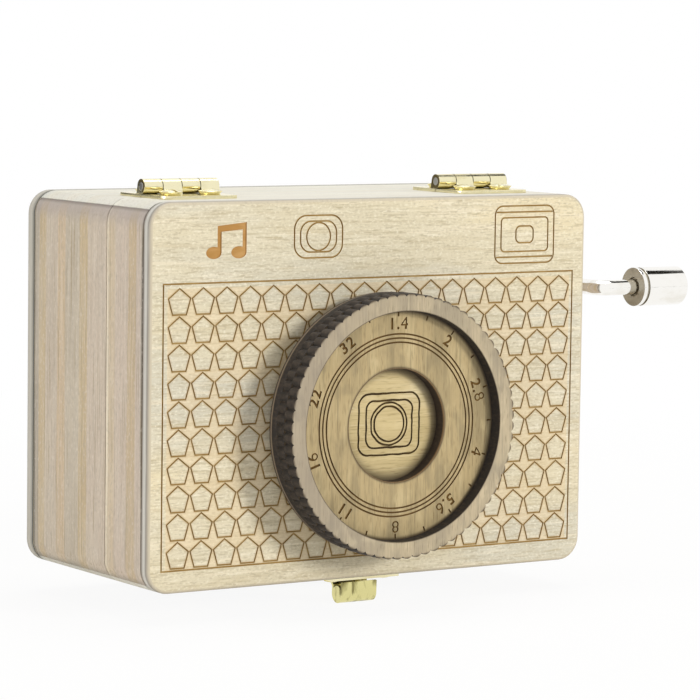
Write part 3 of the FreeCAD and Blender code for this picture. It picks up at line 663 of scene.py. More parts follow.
class PentagonTree(EngravedFaceTree):
    """An engraved face with a lattice of upright pentagons on it."""

    name = "pentagon_face"
    sizes = {
        "Columns": "Int",
        "Rows": "Int",
        "Column pitch": "Float",
        "Row pitch": "Float",
        "Middle": "Vector",
        "Radius": "Float",
        "Stretch": "Float",
        "Line": "Float",
    }

    def repeats(self) -> Socket:
        """Draw the lattice.

        Returns:
            Both sides of every pentagon's line.
        """
        tree, given = self.tree, self.given
        spans = []
        for count, pitch in (("Columns", "Column pitch"), ("Rows", "Row pitch")):
            steps = add_node(tree, "ShaderNodeMath", (given[count], 1.0), operation="SUBTRACT")
            spans.append(add_node(tree, "ShaderNodeMath", (steps, given[pitch]), operation="MULTIPLY"))
        grid = add_node(tree, "GeometryNodeMeshGrid", (*spans, given["Columns"], given["Rows"]))
        spots = {"Geometry": grid, "Translation": given["Middle"]}
        spots = add_node(tree, "GeometryNodeTransform", spots)
        sides = []
        for side in (0.5, -0.5):
            # A corner moves further than the middle of a side when the line grows wider.
            grown = (given["Line"], side / math.cos(math.pi / 5), given["Radius"])
            grown = add_node(tree, "ShaderNodeMath", grown, operation="MULTIPLY_ADD")
            ring = add_node(tree, "GeometryNodeMeshCircle", {"Vertices": 5, "Radius": grown})
            ring = {"Geometry": ring, "Rotation": (0.0, 0.0, math.pi / 2)}
            ring = add_node(tree, "GeometryNodeTransform", ring)
            tall = add_node(tree, "ShaderNodeCombineXYZ", (1.0, given["Stretch"], 1.0))
            sides.append(add_node(tree, "GeometryNodeTransform", {"Geometry": ring, "Scale": tall}))
        copies = {"Points": spots, "Instance": add_node(tree, "GeometryNodeJoinGeometry", (sides,))}
        copies = add_node(tree, "GeometryNodeInstanceOnPoints", copies)
        return add_node(tree, "GeometryNodeRealizeInstances", (copies,))


class TickTree(EngravedFaceTree):
    """An engraved face with a ring of short ticks on it."""

    name = "ticked_face"
    sizes = {"Ticks": "Int", "Ring": "Float", "Length": "Float", "Line": "Float"}

    def repeats(self) -> Socket:
        """Draw the ticks.

        Returns:
            The outline of every tick.
        """
        tree, given = self.tree, self.given
        ring = {"Vertices": given["Ticks"], "Radius": given["Ring"]}
        spots = add_node(tree, "GeometryNodeMeshCircle", ring)
        tick = add_node(tree, "GeometryNodeMeshGrid", (given["Length"], given["Line"], 2, 2))
        tick = add_node(tree, "GeometryNodeDeleteGeometry", (tick,), mode="ONLY_FACE")
        step = add_node(tree, "ShaderNodeMath", (2 * math.pi, given["Ticks"]), operation="DIVIDE")
        index = add_node(tree, "GeometryNodeInputIndex")
        turn = add_node(tree, "ShaderNodeMath", (index, step), operation="MULTIPLY")
        turn = add_node(tree, "ShaderNodeCombineXYZ", {"Z": turn})
        copies = {"Points": spots, "Instance": tick, "Rotation": turn}
        copies = add_node(tree, "GeometryNodeInstanceOnPoints", copies)
        return add_node(tree, "GeometryNodeRealizeInstances", (copies,))


# Finishes


@dataclass(frozen=True)
class Finish:
    """What every finish shares.

    Attributes:
        name: what the real surface is.
    """

    name: str

    def material(self) -> Material:
        """Build the material.

        Returns:
            A new material that the finish has painted.
        """
        material = new_material(self.name)
        self.paint(material.node_tree)
        return material

    def paint(self, tree: Tree) -> None:
        """Add the nodes that give the surface its colours, its gloss and its relief.

        Args:
            tree: the new material's node tree.
        """
        raise NotImplementedError


@dataclass(frozen=True)
class EngravedBasswood(Finish):
    """Basswood ply, sanded before the laser drew on it.

    The eye sees a matt cream face with fine level grain and faint grey zones. The heat leaves a narrow
    tan halo beside the lines of the lattice, and toasts the wood between the pentagons to a light peach.

    Attributes:
        lattice: the pentagons that the laser drew.
        corner: the panel's lower left corner, in metres.
    """

    lattice: PentagonLattice
    corner: Vector

    # How far the halo reaches from the middle of a line, and how soon the toasted wood begins outside it.
    halo = 0.55
    toasting = 0.1

    def paint(self, tree: Tree) -> None:
        """Paint the grain and what the laser's heat did to it."""
        zones = fibres(tree, Axis.ACROSS, (60.0, 14.0), 3.1)
        figure = fibres(tree, Axis.ACROSS, (26.0, 1.5), 8.4, bend=0.6)
        grain = fibres(tree, Axis.ACROSS, (9.0, 0.55), 1.7, bend=0.3)
        # Basswood's pores are a few hundredths of a millimetre wide, and are drawn wider so that they show.
        flecks = fibres(tree, Axis.ACROSS, (2.2, 0.3), 5.2, detail=1.0)
        specks = fibres(tree, Axis.ACROSS, (0.7, 0.4), 2.6, detail=1.0)
        wood = [
            Coat(zones, 0.44, 0.66, "#CFCAB9", 0.85),
            Coat(zones, 0.42, 0.26, "#E4D6B3", 0.7),
            Coat(figure, 0.5, 0.72, "#EADFC6", 0.7),
            Coat(figure, 0.48, 0.24, "#CDBE9C", 0.6),
            Coat(grain, 0.52, 0.76, "#BCAE8D", 0.7),
            Coat(grain, 0.45, 0.22, "#F2EAD5", 0.65),
            Coat(flecks, 0.55, 0.74, "#B1A384", 0.55),
            Coat(specks, 0.56, 0.72, "#BDB298", 0.52),
            Coat(specks, 0.44, 0.28, "#F0EAD8", 0.48),
        ]
        reach, inside = self.lattice_distance(tree)
        edge = self.lattice.apothem
        gap = add_node(tree, "ShaderNodeMath", (reach, edge), operation="SUBTRACT")
        spans = (
            (gap, 0.0, self.toasting, 0.0, 1.0),
            (distance_from(tree, reach, edge), self.halo, 0.0, 0.0, 1.0),
        )
        for span, colour, strength in zip(spans, ("#E2C99E", "#A98A52"), (0.42, 0.5)):
            heat = (add_node(tree, "ShaderNodeMapRange", span), inside)
            heat = add_node(tree, "ShaderNodeMath", heat, operation="MULTIPLY")
            wood.append(Coat(heat, 0.0, 1.0, colour, strength))
        colour = lay_coats(tree, "#DAD0B5", wood)
        close_material(tree, colour, rough=(0.62, 0.86), relief=grain, height=0.06, IOR=1.45)

    def lattice_distance(self, tree: Tree) -> tuple[Socket, Socket]:
        """Work out how far a point is from the middle of its pentagon, across the nearest side.

        Args:
            tree: the material's node tree.

        Returns:
            That distance in millimetres, and 1 inside the lattice or 0 outside it.
        """
        lattice, (across, up) = self.lattice, self.lattice.span
        first = lattice.first()
        place = add_node(tree, "ShaderNodeTexCoord", give="Object")
        zero = (self.corner.x + first[0] * MM, 0.0, self.corner.z + first[1] * MM)
        local = add_node(tree, "ShaderNodeVectorMath", (place, zero), operation="SUBTRACT")
        half = (lattice.column_pitch / 2 * MM, 1.0, lattice.row_pitch / 2 * MM)
        folded = (local, half, tuple(-h for h in half))
        folded = add_node(tree, "ShaderNodeVectorMath", folded, operation="WRAP")
        regular = (folded, (1 / MM, 0.0, 1 / MM / lattice.stretch))
        regular = add_node(tree, "ShaderNodeVectorMath", regular, operation="MULTIPLY")
        reach = None
        for side in range(5):
            turn = math.pi / 2 + math.pi / 5 * (2 * side + 1)
            facing = (regular, (math.cos(turn), 0.0, math.sin(turn)))
            facing = add_node(tree, "ShaderNodeVectorMath", facing, give="Value", operation="DOT_PRODUCT")
            if reach is not None:
                facing = add_node(tree, "ShaderNodeMath", (reach, facing), operation="MAXIMUM")
            reach = facing
        middle = (local, (across / 2 * MM, 0.0, up / 2 * MM))
        middle = add_node(tree, "ShaderNodeVectorMath", middle, operation="SUBTRACT")
        spread = add_node(tree, "ShaderNodeVectorMath", (middle,), operation="ABSOLUTE")
        spread = add_node(tree, "ShaderNodeSeparateXYZ", (spread,), give=None).outputs
        within = []
        for axis, limit in (("X", across + lattice.column_pitch), ("Z", up + lattice.row_pitch)):
            near = (spread[axis], limit / 2 * MM)
            within.append(add_node(tree, "ShaderNodeMath", near, operation="LESS_THAN"))
        return reach, add_node(tree, "ShaderNodeMath", within, operation="MULTIPLY")


@dataclass(frozen=True)
class ScorchedWood(Finish):
    """Wood burnt by the laser: matt and uneven, from toasted tan to dark brown.

    Attributes:
        colour: its deeper tone.
        toasted: the paler tone of its patches.
    """

    colour: str
    toasted: str

    def paint(self, tree: Tree) -> None:
        """Paint patches and fine grain over the burnt ground."""
        patches = fibres(tree, Axis.ACROSS, (6.0, 1.6), 4.4)
        grain = fibres(tree, Axis.ACROSS, (3.0, 0.25), 2.2)
        coats = [Coat(patches, 0.4, 0.7, self.toasted, 0.8), Coat(grain, 0.55, 0.8, self.toasted, 0.5)]
        colour = lay_coats(tree, self.colour, coats)
        close_material(tree, colour, rough=0.85, relief=grain, height=0.04)


@dataclass(frozen=True)
class StripedBoard(Finish):
    """A board sawn from basswood strips glued side by side, sanded and left bare.

    The eye sees matt strips that run with the grain and go from tan to a cool grey, a pale line at the
    seam, and a thin dark glue line where the front and rear panels meet the boards. An upright board is
    greyer at its top, shows the joint of its mitre, and is darker at its foot, where shade is painted on
    the rounded edge that turns down from the light. A level board may carry a painted sheen.

    Attributes:
        grain: the direction of its grain.
        front: the front face of the box, in metres.
        ends: the height of the box's lower and upper face, in metres.
        bleach: how much paler and greyer the board is painted, from 0 to 1, as a sheen of glancing light.
    """

    grain: Axis
    front: float
    ends: Point
    bleach: float = 0.0

    # The depth of the box, in millimetres, and the share of it by which the strips' edges wander.
    depth = 52.6
    wander = 0.03
    # Under the painted sheen the marks are fainter by this share.
    fading = 0.75
    # The mitre's joint lies this far below the top. Each pair below is where a tone starts to show and
    # where it is full: from the top, from the joint and from the foot, where the tone is painted shade. All
    # are in millimetres.
    mitre = 1.46
    grey_top = (6.5, 2.0)
    joint = (0.9, 0.1)
    dark_foot = (3.2, 0.4)
    # Each strip's start and end behind the front, in millimetres, and its tone.
    strips = (
        (2.6, 3.35, "#756E64"),
        (3.5, 5.6, "#C4B5A6"),
        (5.9, 8.7, "#C2AE90"),
        (9.1, 13.8, "#C8B8A7"),
        (14.1, 16.8, "#CBB99E"),
        (17.0, 17.9, "#E6D9C0"),
        (18.2, 25.9, "#C7B8A6"),
        (26.3, 29.6, "#C3AF8D"),
        (30.0, 35.7, "#BEB29F"),
        (36.1, 39.1, "#C8B396"),
        (39.5, 44.1, "#C2B4A2"),
        (44.5, 47.0, "#C1AE8E"),
        (47.4, 48.7, "#A79D8E"),
        (49.0, 50.2, "#5C5B55"),
    )

    def paint(self, tree: Tree) -> None:
        """Paint the strips, the grain over them and the ends of an upright board."""
        waver = fibres(tree, self.grain, (90.0, 9.0), 9.1, detail=0.0)
        grain = fibres(tree, self.grain, (30.0, 0.7), 2.4)
        clouds = fibres(tree, self.grain, (25.0, 6.0), 4.8)
        haze = fibres(tree, self.grain, (12.0, 2.2), 11.3, bend=0.5)
        # The fuzz that sanding raises and the pores are finer than this, and are drawn as wide as shows.
        fuzz = fibres(tree, self.grain, (2.5, 0.45), 6.3, detail=1.0)
        fluff = fibres(tree, self.grain, (0.9, 0.5), 7.1, detail=1.0)
        pores = fibres(tree, self.grain, (16.0, 0.22), 3.9, detail=0.0)
        span = (place_along(tree, Axis.DEEP), self.front, self.front + self.depth * MM)
        share = add_node(tree, "ShaderNodeMapRange", span)
        sway = (waver, self.wander, -self.wander / 2)
        sway = add_node(tree, "ShaderNodeMath", sway, operation="MULTIPLY_ADD")
        share = add_node(tree, "ShaderNodeMath", (share, sway), operation="ADD")
        stops = [(y / self.depth, tone) for start, end, tone in self.strips for y in (start, end)]
        strips = add_node(tree, "ShaderNodeValToRGB", (share,), give="Color", stops=stops)
        # Painted sheen: the board turns paler and greyer, as glancing light makes a level face look.
        paler = {"Factor_Float": self.bleach, "A_Color": strips, "B_Color": "#E6E6DB"}
        paler = add_node(tree, "ShaderNodeMix", paler, give="Result_Color", data_type="RGBA")
        coats = [
            Coat(clouds, 0.45, 0.7, "#D3C7B2", 0.3),
            Coat(haze, 0.46, 0.68, "#B7AEA0", 0.22),
            Coat(haze, 0.42, 0.26, "#CDBFAA", 0.18),
            Coat(grain, 0.5, 0.78, "#A8987C", 0.35),
            Coat(grain, 0.48, 0.25, "#DCD1BF", 0.35),
            Coat(fuzz, 0.5, 0.8, "#9F9384", 0.35),
            Coat(fluff, 0.55, 0.74, "#A59B8E", 0.35),
            Coat(fluff, 0.44, 0.26, "#DBD2C6", 0.32),
            Coat(pores, 0.62, 0.75, "#94805F", 0.5),
        ]
        bold = 1.0 - self.fading * self.bleach
        coats = [replace(coat, strength=coat.strength * bold) for coat in coats]
        if self.grain is Axis.UP:
            up, (low, high) = place_along(tree, Axis.UP), self.ends
            joint = distance_from(tree, up, high - self.mitre * MM)
            for pattern, zero, pair, colour, strength in (
                (up, high, [-y for y in self.grey_top], "#A89D97", 0.7),
                (joint, 0.0, self.joint, "#6E655E", 0.7),
                # Painted shade at the foot, where the rounded edge turns down from the light.
                (up, low, self.dark_foot, "#6F6D65", 0.75),
            ):
                start, end = (zero + y * MM for y in pair)
                coats.append(Coat(pattern, start, end, colour, strength))
        colour = lay_coats(tree, paler, coats)
        close_material(tree, colour, rough=(0.6, 0.85), relief=grain, height=0.05)


@dataclass(frozen=True)
class PlyEdge(Finish):
    """The sanded edge of thin ply: to the eye, pale outer veneers round a darker core.

    Attributes:
        face: the height of the outer face along Y, in metres.
        inward: 1 where the wood lies behind that face, and -1 where it lies before it.
        layers: the start and colour of each layer, in millimetres from the outer face.
    """

    face: float
    inward: int
    layers: tuple[tuple[float, str], ...]

    # The thickness of the ply, in millimetres.
    thickness = 3.0

    def paint(self, tree: Tree) -> None:
        """Paint the layers and their fine grain."""
        grain = fibres(tree, Axis.UP, (9.0, 0.5), 5.1)
        back = self.face + self.inward * self.thickness * MM
        share = add_node(tree, "ShaderNodeMapRange", (place_along(tree, Axis.DEEP), self.face, back))
        stops = [(start / self.thickness, tone) for start, tone in self.layers]
        layers = add_node(tree, "ShaderNodeValToRGB", (share,), give="Color", stops=stops)
        coats = [Coat(grain, 0.5, 0.8, "#A49A89", 0.35), Coat(grain, 0.45, 0.2, "#D8D2C6", 0.35)]
        close_material(tree, lay_coats(tree, layers, coats), rough=0.75, relief=grain, height=0.04)


@dataclass(frozen=True)
class PlainPly(Finish):
    """Thin basswood ply, sanded and, on the lens, stained.

    The eye sees a matt face with fine grain and short flecks, soft spots where the stain took unevenly,
    and dark rings: the laser's smoke where it reached a cut edge, and painted shade where a wall or a
    ring above casts its shadow. On some discs the left side is greyed with painted shade.

    Attributes:
        grain: the direction of its grain.
        colour: its even tone.
        shade: the tone of its darker grain.
        light: the tone of its paler zones.
        fleck: the tone of its short flecks.
        centre: the middle of a disc, in metres.
        singed: the radius and width of each dark ring, in millimetres. Some are the laser's
            smoke at a cut edge, and some are painted shade where a wall or a ring above casts its shadow.
        aged: the tone of the painted shade that greys a disc's left side.
        mottling: how much the soft spots of the stain show.
    """

    grain: Axis
    colour: str
    shade: str
    light: str
    fleck: str
    centre: Vector | None = None
    singed: tuple[Point, ...] = ()
    aged: str | None = None
    mottling: float = 0.35

    # The painted shade on the left side is full this far to the left of a disc's middle, in millimetres.
    age_width = 26.0

    def paint(self, tree: Tree) -> None:
        """Paint the grain, the stain and the smoke."""
        zones = fibres(tree, self.grain, (40.0, 7.0), 1.3)
        mottle = fibres(tree, self.grain, (7.0, 3.5), 4.1, bend=0.4)
        grain = fibres(tree, self.grain, (14.0, 0.5), 6.7)
        flecks = fibres(tree, self.grain, (2.6, 0.22), 2.9, detail=1.0)
        coats = [
            Coat(zones, 0.44, 0.66, self.shade, 0.7),
            Coat(zones, 0.42, 0.25, self.light, 0.8),
            Coat(mottle, 0.48, 0.68, self.shade, self.mottling),
            Coat(mottle, 0.44, 0.26, self.light, self.mottling),
            Coat(grain, 0.5, 0.75, self.shade, 0.7),
            Coat(grain, 0.45, 0.2, self.light, 0.6),
            Coat(flecks, 0.56, 0.76, self.fleck, 0.5),
        ]
        # Painted shade: the disc greys towards its left side.
        if self.aged is not None:
            left = self.centre.x - self.age_width * MM
            coats.append(Coat(place_along(tree, Axis.ACROSS), self.centre.x, left, self.aged, 0.6))
        # Dark rings: the laser's smoke at cut edges, and painted shade where a wall or a ring above casts its
        # shadow.
        for radius, width in self.singed:
            gap = distance_from(tree, radial_distance(tree, self.centre), radius)
            coats.append(Coat(gap, width, 0.0, "#372A1C", 0.9))
        colour = lay_coats(tree, self.colour, coats)
        close_material(tree, colour, rough=(0.6, 0.85), relief=grain, height=0.05)


@dataclass(frozen=True)
class BurntRim(Finish):
    """The laser-cut edge of a ply disc: to the eye, soot brown in its notches and paler on its crests.

    Attributes:
        centre: a point on the disc's axis, in metres.
        notch: the radius where the soot begins to be rubbed off, in millimetres.
        crest: the radius where it is rubbed off most.
        soot: the tone of the soot.
        rubbed: the tone of the rubbed crests.
        band: the place along Y of a band that is toasted and not burnt, in metres.
        toasted: the tone of that band.
        reach: how far it goes to each side, in millimetres.
    """

    centre: Vector
    notch: float
    crest: float
    soot: str = "#1A1410"
    rubbed: str = "#332A23"
    band: float | None = None
    toasted: str = "#857562"
    reach: float = 0.45

    # The rubbing is uneven by this much, and the notch and the crest allow for it, in millimetres.
    unevenness = 0.9
    allowance = (0.35, 0.6)

    # How far below its full radius a knurled rim begins to be rubbed, and is rubbed most.
    rubbing = (0.15, 0.02)

    @classmethod
    def knurled(cls, name: str, centre: Vector, radius: float) -> BurntRim:
        """Make the finish of a knurled rim, whose crests are rubbed close to their full radius."""
        return cls(name, centre, *(radius - below for below in cls.rubbing))

    def paint(self, tree: Tree) -> None:
        """Paint the smoke, the rubbed crests and the toasted band."""
        smoke = fibres(tree, Axis.DEEP, (2.0, 0.5), 3.3)
        wear = fibres(tree, Axis.DEEP, (1.4, 0.9), 8.8)
        height = (wear, self.unevenness, radial_distance(tree, self.centre))
        height = add_node(tree, "ShaderNodeMath", height, operation="MULTIPLY_ADD")
        start, end = self.notch + self.allowance[0], self.crest + self.allowance[1]
        coats = [
            Coat(smoke, 0.45, 0.7, "#382C21", 0.7),
            Coat(height, start, end, self.rubbed, 0.85),
            Coat(wear, 0.55, 0.75, "#4A3E34", 0.35),
        ]
        if self.band is not None:
            gap = distance_from(tree, place_along(tree, Axis.DEEP), self.band)
            coats.append(Coat(gap, self.reach * MM, 0.0, self.toasted, 0.9))
        close_material(tree, lay_coats(tree, self.soot, coats), rough=0.7, relief=smoke, height=0.05)


@dataclass(frozen=True)
class Metal(Finish):
    """A metal finish, with the marks that its making left on it, and on the clasp painted reflections.

    Attributes:
        colour: the clean metal's hex colour.
        tarnish: the colour of its duller patches, which on the clasp are painted dark reflections.
        shine: the roughness of the clean metal.
        dull: the roughness of the duller patches.
        brushing: the direction of the fine scratches.
        patch: the length and width of the duller patches, in millimetres.
        patchy: how much the duller patches show.
    """

    colour: str
    tarnish: str
    shine: float
    dull: float
    brushing: Axis = Axis.ACROSS
    patch: Point = (6.0, 3.0)
    patchy: float = 0.6

    # Polishing scratches are far finer than this, in millimetres, and are drawn as wide as shows.
    scratch = (4.0, 0.12)
    scratch_depth = 0.004

    def paint(self, tree: Tree) -> None:
        """Paint the duller patches, and cut the fine scratches."""
        patches = fibres(tree, self.brushing, self.patch, 1.9, bend=0.4)
        scratches = fibres(tree, self.brushing, self.scratch, 7.7, detail=2.0)
        colour = lay_coats(tree, self.colour, [Coat(patches, 0.45, 0.7, self.tarnish, self.patchy)])
        rough = add_node(tree, "ShaderNodeMapRange", (patches, 0.3, 0.7, self.shine, self.dull))
        close_material(tree, colour, rough, scratches, self.scratch_depth, Metallic=1.0)


# Sub-assemblies


def round_front(node: str) -> tuple[Vector, float]:
    """Return the middle of a disc's front face, in metres, and its radius, in millimetres."""
    lo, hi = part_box(node)
    return Vector(((lo.x + hi.x) / 2, lo.y, (lo.z + hi.z) / 2)), (hi.x - lo.x) / 2 / MM


class Sorter:
    """Tells which of a piece's two finishes a face takes. This one gives all of them the first."""

    def __call__(self, middle: Vector, normal: Vector) -> int:
        """Return the place of a face's finish, from its middle and its normal."""
        return 0


class SandedFaces(Sorter):
    """Tells the sanded faces of a disc or a panel from its cut edges and grooves."""

    # A face lies in a plane when it is this close to it, in millimetres, and this level with it.
    reach = 0.02
    level = 0.9

    def __init__(self, node: str) -> None:
        """Read the planes of the node's front and back."""
        lo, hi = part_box(node)
        self.planes = (lo.y, hi.y)

    def __call__(self, middle: Vector, normal: Vector) -> int:
        """Return 0 for a sanded face, and 1 for an edge."""
        near = min(abs(middle.y - plane) for plane in self.planes) < self.reach * MM
        return 0 if near and abs(normal.y) > self.level else 1


class TurnedFaces(Sorter):
    """Tells the satin faces that the lathe left on the knob from its polished side."""

    # How deep the groove is, in millimetres, and how squarely an end face looks along the axis.
    groove = 0.15
    level = 0.9

    def __init__(self, node: str) -> None:
        """Read the knob's axis, and the radius of its groove's floor."""
        lo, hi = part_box(node)
        self.middle = (lo + hi) / 2
        self.radius = (hi.z - lo.z) / 2 - self.groove * MM

    def __call__(self, middle: Vector, normal: Vector) -> int:
        """Return 1 for an end face or the groove's floor, and 0 for the polished side."""
        reach = math.hypot(middle.y - self.middle.y, middle.z - self.middle.z)
        return 1 if normal.x < -self.level or reach < self.radius else 0


class KnuckleEnds(Sorter):
    """Tells the ends of a hinge's knuckles, which take painted shade, from the leaf's polished faces."""

    # How high the knuckles stand above the leaf, in millimetres, and how far an end looks sideways.
    knuckle = 1.6
    turned = 0.3

    def __init__(self, node: str) -> None:
        """Read the leaf's height, above which there are only knuckles."""
        self.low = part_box(node)[1].z - self.knuckle * MM

    def __call__(self, middle: Vector, normal: Vector) -> int:
        """Return 1 for a knuckle's end and its eased edge, and 0 elsewhere."""
        return 1 if middle.z > self.low and abs(normal.x) > self.turned else 0


@dataclass
class Bench:
    """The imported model, and the ways to put a dressed piece in a node's place.

    Attributes:
        nodes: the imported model's pieces.
        bodies: the body that each node rides on.
        slots: the material slot that each node takes its finish from.
    """

    nodes: dict[str, bpy.types.Object]
    bodies: dict[str, str]
    slots: dict[str, str]

    # Points closer than this, in millimetres, are one. Angles are in degrees: faces that turn by less
    # than the first are one face, edges that turn by more than the second are eased, and those that turn
    # by less than the third shade smooth.
    weld = 0.0005
    flat = 0.2
    crease = 35.0
    smooth = 40.0
    # How much a large face outweighs its eased edges in the shading, up to 100.
    flatness = 90

    @classmethod
    def from_frame(cls, frame: dict) -> Bench:
        """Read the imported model's own lists.


        Returns:
            The bench.
        """
        bodies = {n: body for body, ns in frame["record"]["behaviour"]["bodies"].items() for n in ns}
        slots = {part["node"]: part["material_slot"] for part in frame["record"]["subparts"]}
        return cls(frame["nodes"], bodies, slots)

    def seat(self, mesh: Mesh, node: str) -> None:
        """Put a mesh in the place of a node, and make it ride as the node does.

        Args:
            mesh: the finished mesh, in the scene's metres.
            node: the node that it stands for.
        """
        piece = add_object("dressed_" + node, mesh)
        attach(piece, self.bodies[node])
        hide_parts(node)
        LOG.info("%s rides on %s with %d faces", piece.name, self.bodies[node], len(mesh.polygons))

    def ease(self, node: str, easing: float, finishes: Sequence[Material], pick: Sorter = Sorter()) -> None:
        """Copy a node with its sharp edges eased and its round faces shaded smooth.

        Args:
            node: the node to copy.
            easing: how wide the eased edge is, in millimetres, or 0 to leave the edges sharp.
            finishes: the materials.
            pick: gives the place of a face's finish.
        """
        bm = bmesh.new()
        bm.from_mesh(self.nodes[node].data)
        bmesh.ops.remove_doubles(bm, verts=bm.verts, dist=self.weld * MM)
        flat = math.radians(self.flat)
        bmesh.ops.dissolve_limit(bm, angle_limit=flat, verts=bm.verts, edges=bm.edges, delimit={"NORMAL"})
        if easing > 0:
            crease = math.radians(self.crease)
            sharp = [e for e in bm.edges if e.is_manifold and e.calc_face_angle() > crease]
            round_off = {"segments": 2, "profile": 0.5, "affect": "EDGES", "clamp_overlap": True}
            bmesh.ops.bevel(bm, geom=sharp, offset=easing * MM, **round_off)
        bm.normal_update()
        for face in bm.faces:
            face.material_index = pick(face.calc_center_median(), face.normal)
        smooth_by_angle(bm, self.smooth)
        mesh = bpy.data.meshes.new(node)
        bm.to_mesh(mesh)
        bm.free()
        for finish in finishes:
            mesh.materials.append(finish)
        # Weighted normals make large flat faces shade flat, right up to their eased edges.
        weights = {"mode": "FACE_AREA", "weight": self.flatness, "keep_sharp": True}
        self.seat(plain_mesh(node, mesh, "WEIGHTED_NORMAL", **weights), node)


@dataclass(frozen=True)
class PentagonLattice:
    """Upright pentagons in straight rows and columns, all in millimetres.

    Each is a regular pentagon of the given radius, stretched in height.
    """

    columns: int = 18
    rows: int = 10
    column_pitch: float = 5.58
    row_pitch: float = 5.77
    radius: float = 2.734
    stretch: float = 1.085
    line: float = 0.28
    first_x: float = 6.98
    lowest_apex: float = 10.54

    @property
    def apothem(self) -> float:
        """Return the distance from a pentagon's middle to its side, before it is stretched."""
        return self.radius * math.cos(math.pi / 5)

    @property
    def span(self) -> Point:
        """Return the width and the height between the middles of the outermost pentagons."""
        return ((self.columns - 1) * self.column_pitch, (self.rows - 1) * self.row_pitch)

    def first(self) -> Point:
        """Return the middle of the lowest pentagon on the left."""
        return (self.first_x, self.lowest_apex - self.radius * self.stretch)

    def middle(self) -> Point:
        """Return the middle of the whole lattice."""
        (x, z), (across, up) = self.first(), self.span
        return (x + across / 2, z + up / 2)


@dataclass
class EngravedPlate:
    """A flat plate with engraved lines, drawn from the front with X to the right and Z up.

    Attributes:
        node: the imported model's node that it stands for.
        easing: how far the rim's edges are rounded, in millimetres.
        depth: how deep the lines are, in millimetres.
        line: how wide the lines are, in millimetres.
    """

    node: str
    easing: float
    depth: float = 0.25
    line: float = 0.35

    # Edges that turn by more than this, in degrees, shade sharp.
    crease = 38.0
    # How many pieces the rounding of the rim has, and which finish each outline's wall gets.
    rim_steps = 3
    wall_places = (Place.RIM, Place.BORE)

    @cached_property
    def corners(self) -> tuple[Vector, Vector]:
        """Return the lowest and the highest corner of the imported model's plate, in metres."""
        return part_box(self.node)

    @cached_property
    def origin(self) -> Vector:
        """Return where the drawing's zero lies on the front face."""
        return self.corners[0]

    def outlines(self, inset: float) -> list[Loop]:
        """Return the rim and the openings, drawn in from the plate's edge by an inset."""
        raise NotImplementedError

    def engraving(self) -> list[Loop]:
        """Return both sides of every engraved line."""
        raise NotImplementedError

    def finishes(self) -> list[Finish]:
        """Return the finishes in the order of their places."""
        raise NotImplementedError

    def face_tree(self) -> tuple[EngravedFaceTree, dict]:
        """Return the tree that makes the face, and the values of its own inputs."""
        return EngravedFaceTree(), {}

    def groove_place(self, middle: Vector) -> Place:
        """Return the place of a groove's finish, from the middle of its face in millimetres."""
        return Place.LINE

    def rim_profile(self) -> list[Point]:
        """Return the rim's inset and depth, from the front face to the back one."""
        thickness = (self.corners[1].y - self.corners[0].y) / MM
        turns = [math.pi / 2 * i / self.rim_steps for i in range(self.rim_steps + 1)]
        front = [(self.easing * (1 - math.sin(t)), self.easing * (1 - math.cos(t))) for t in turns]
        return front + [(inset, thickness - deep) for inset, deep in reversed(front)]

    def build(self, bench: Bench) -> None:
        """Make the plate and put it in its node's place.

        Args:
            bench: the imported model.
        """
        finishes = self.finishes()
        names = [finish.name for finish in finishes]
        distinct = dict(zip(names, finishes))
        made = {name: finish.material() for name, finish in distinct.items()}
        tree, values = self.face_tree()
        face, line = (made[names[place]] for place in (Place.FACE, Place.LINE))
        values |= {"Depth": self.depth, "Face finish": face, "Groove finish": line}
        drawing = lay_drawing(self.outlines(self.easing), self.engraving())
        plate = tree.mesh(self.node, drawing, values)
        bm = bmesh.new()
        bm.from_mesh(plate)
        slots = [plate.materials.find(finish.name) for finish in (face, line)]
        for part in bm.faces:
            part.material_index = slots.index(part.material_index)
            if part.material_index == Place.LINE:
                part.material_index = self.groove_place(part.calc_center_median())
        self.add_rim(bm)
        bmesh.ops.remove_doubles(bm, verts=bm.verts, dist=WELD)
        bmesh.ops.recalc_face_normals(bm, faces=bm.faces)
        turn = Matrix.Rotation(math.pi / 2, 4, "X")
        bm.transform(Matrix.Translation(self.origin) @ turn @ Matrix.Scale(MM, 4))
        smooth_by_angle(bm, self.crease)
        plate.materials.clear()
        for name in names:
            plate.materials.append(made[name])
        bm.to_mesh(plate)
        bm.free()
        bench.seat(plate, self.node)

    def add_rim(self, bm: bmesh.types.BMesh) -> None:
        """Add the rounded rim, the walls of the openings and the back face.

        Args:
            bm: the mesh that holds the front face, in millimetres.
        """
        drawn = [(self.outlines(inset), deep) for inset, deep in self.rim_profile()]
        edges = []
        for number, place in zip(range(len(drawn[0][0])), self.wall_places):
            rings = [[bm.verts.new((x, z, -deep)) for x, z in loops[number]] for loops, deep in drawn]
            pairs = [(i, (i + 1) % len(rings[0])) for i in range(len(rings[0]))]
            for upper, lower in zip(rings, rings[1:]):
                for i, j in pairs:
                    bm.faces.new((upper[i], upper[j], lower[j], lower[i])).material_index = place
            edges += [bm.edges.get((rings[-1][i], rings[-1][j])) for i, j in pairs]
        for part in bmesh.ops.triangle_fill(bm, edges=edges, use_beauty=True)["geom"]:
            if isinstance(part, bmesh.types.BMFace):
                part.material_index = Place.BACK


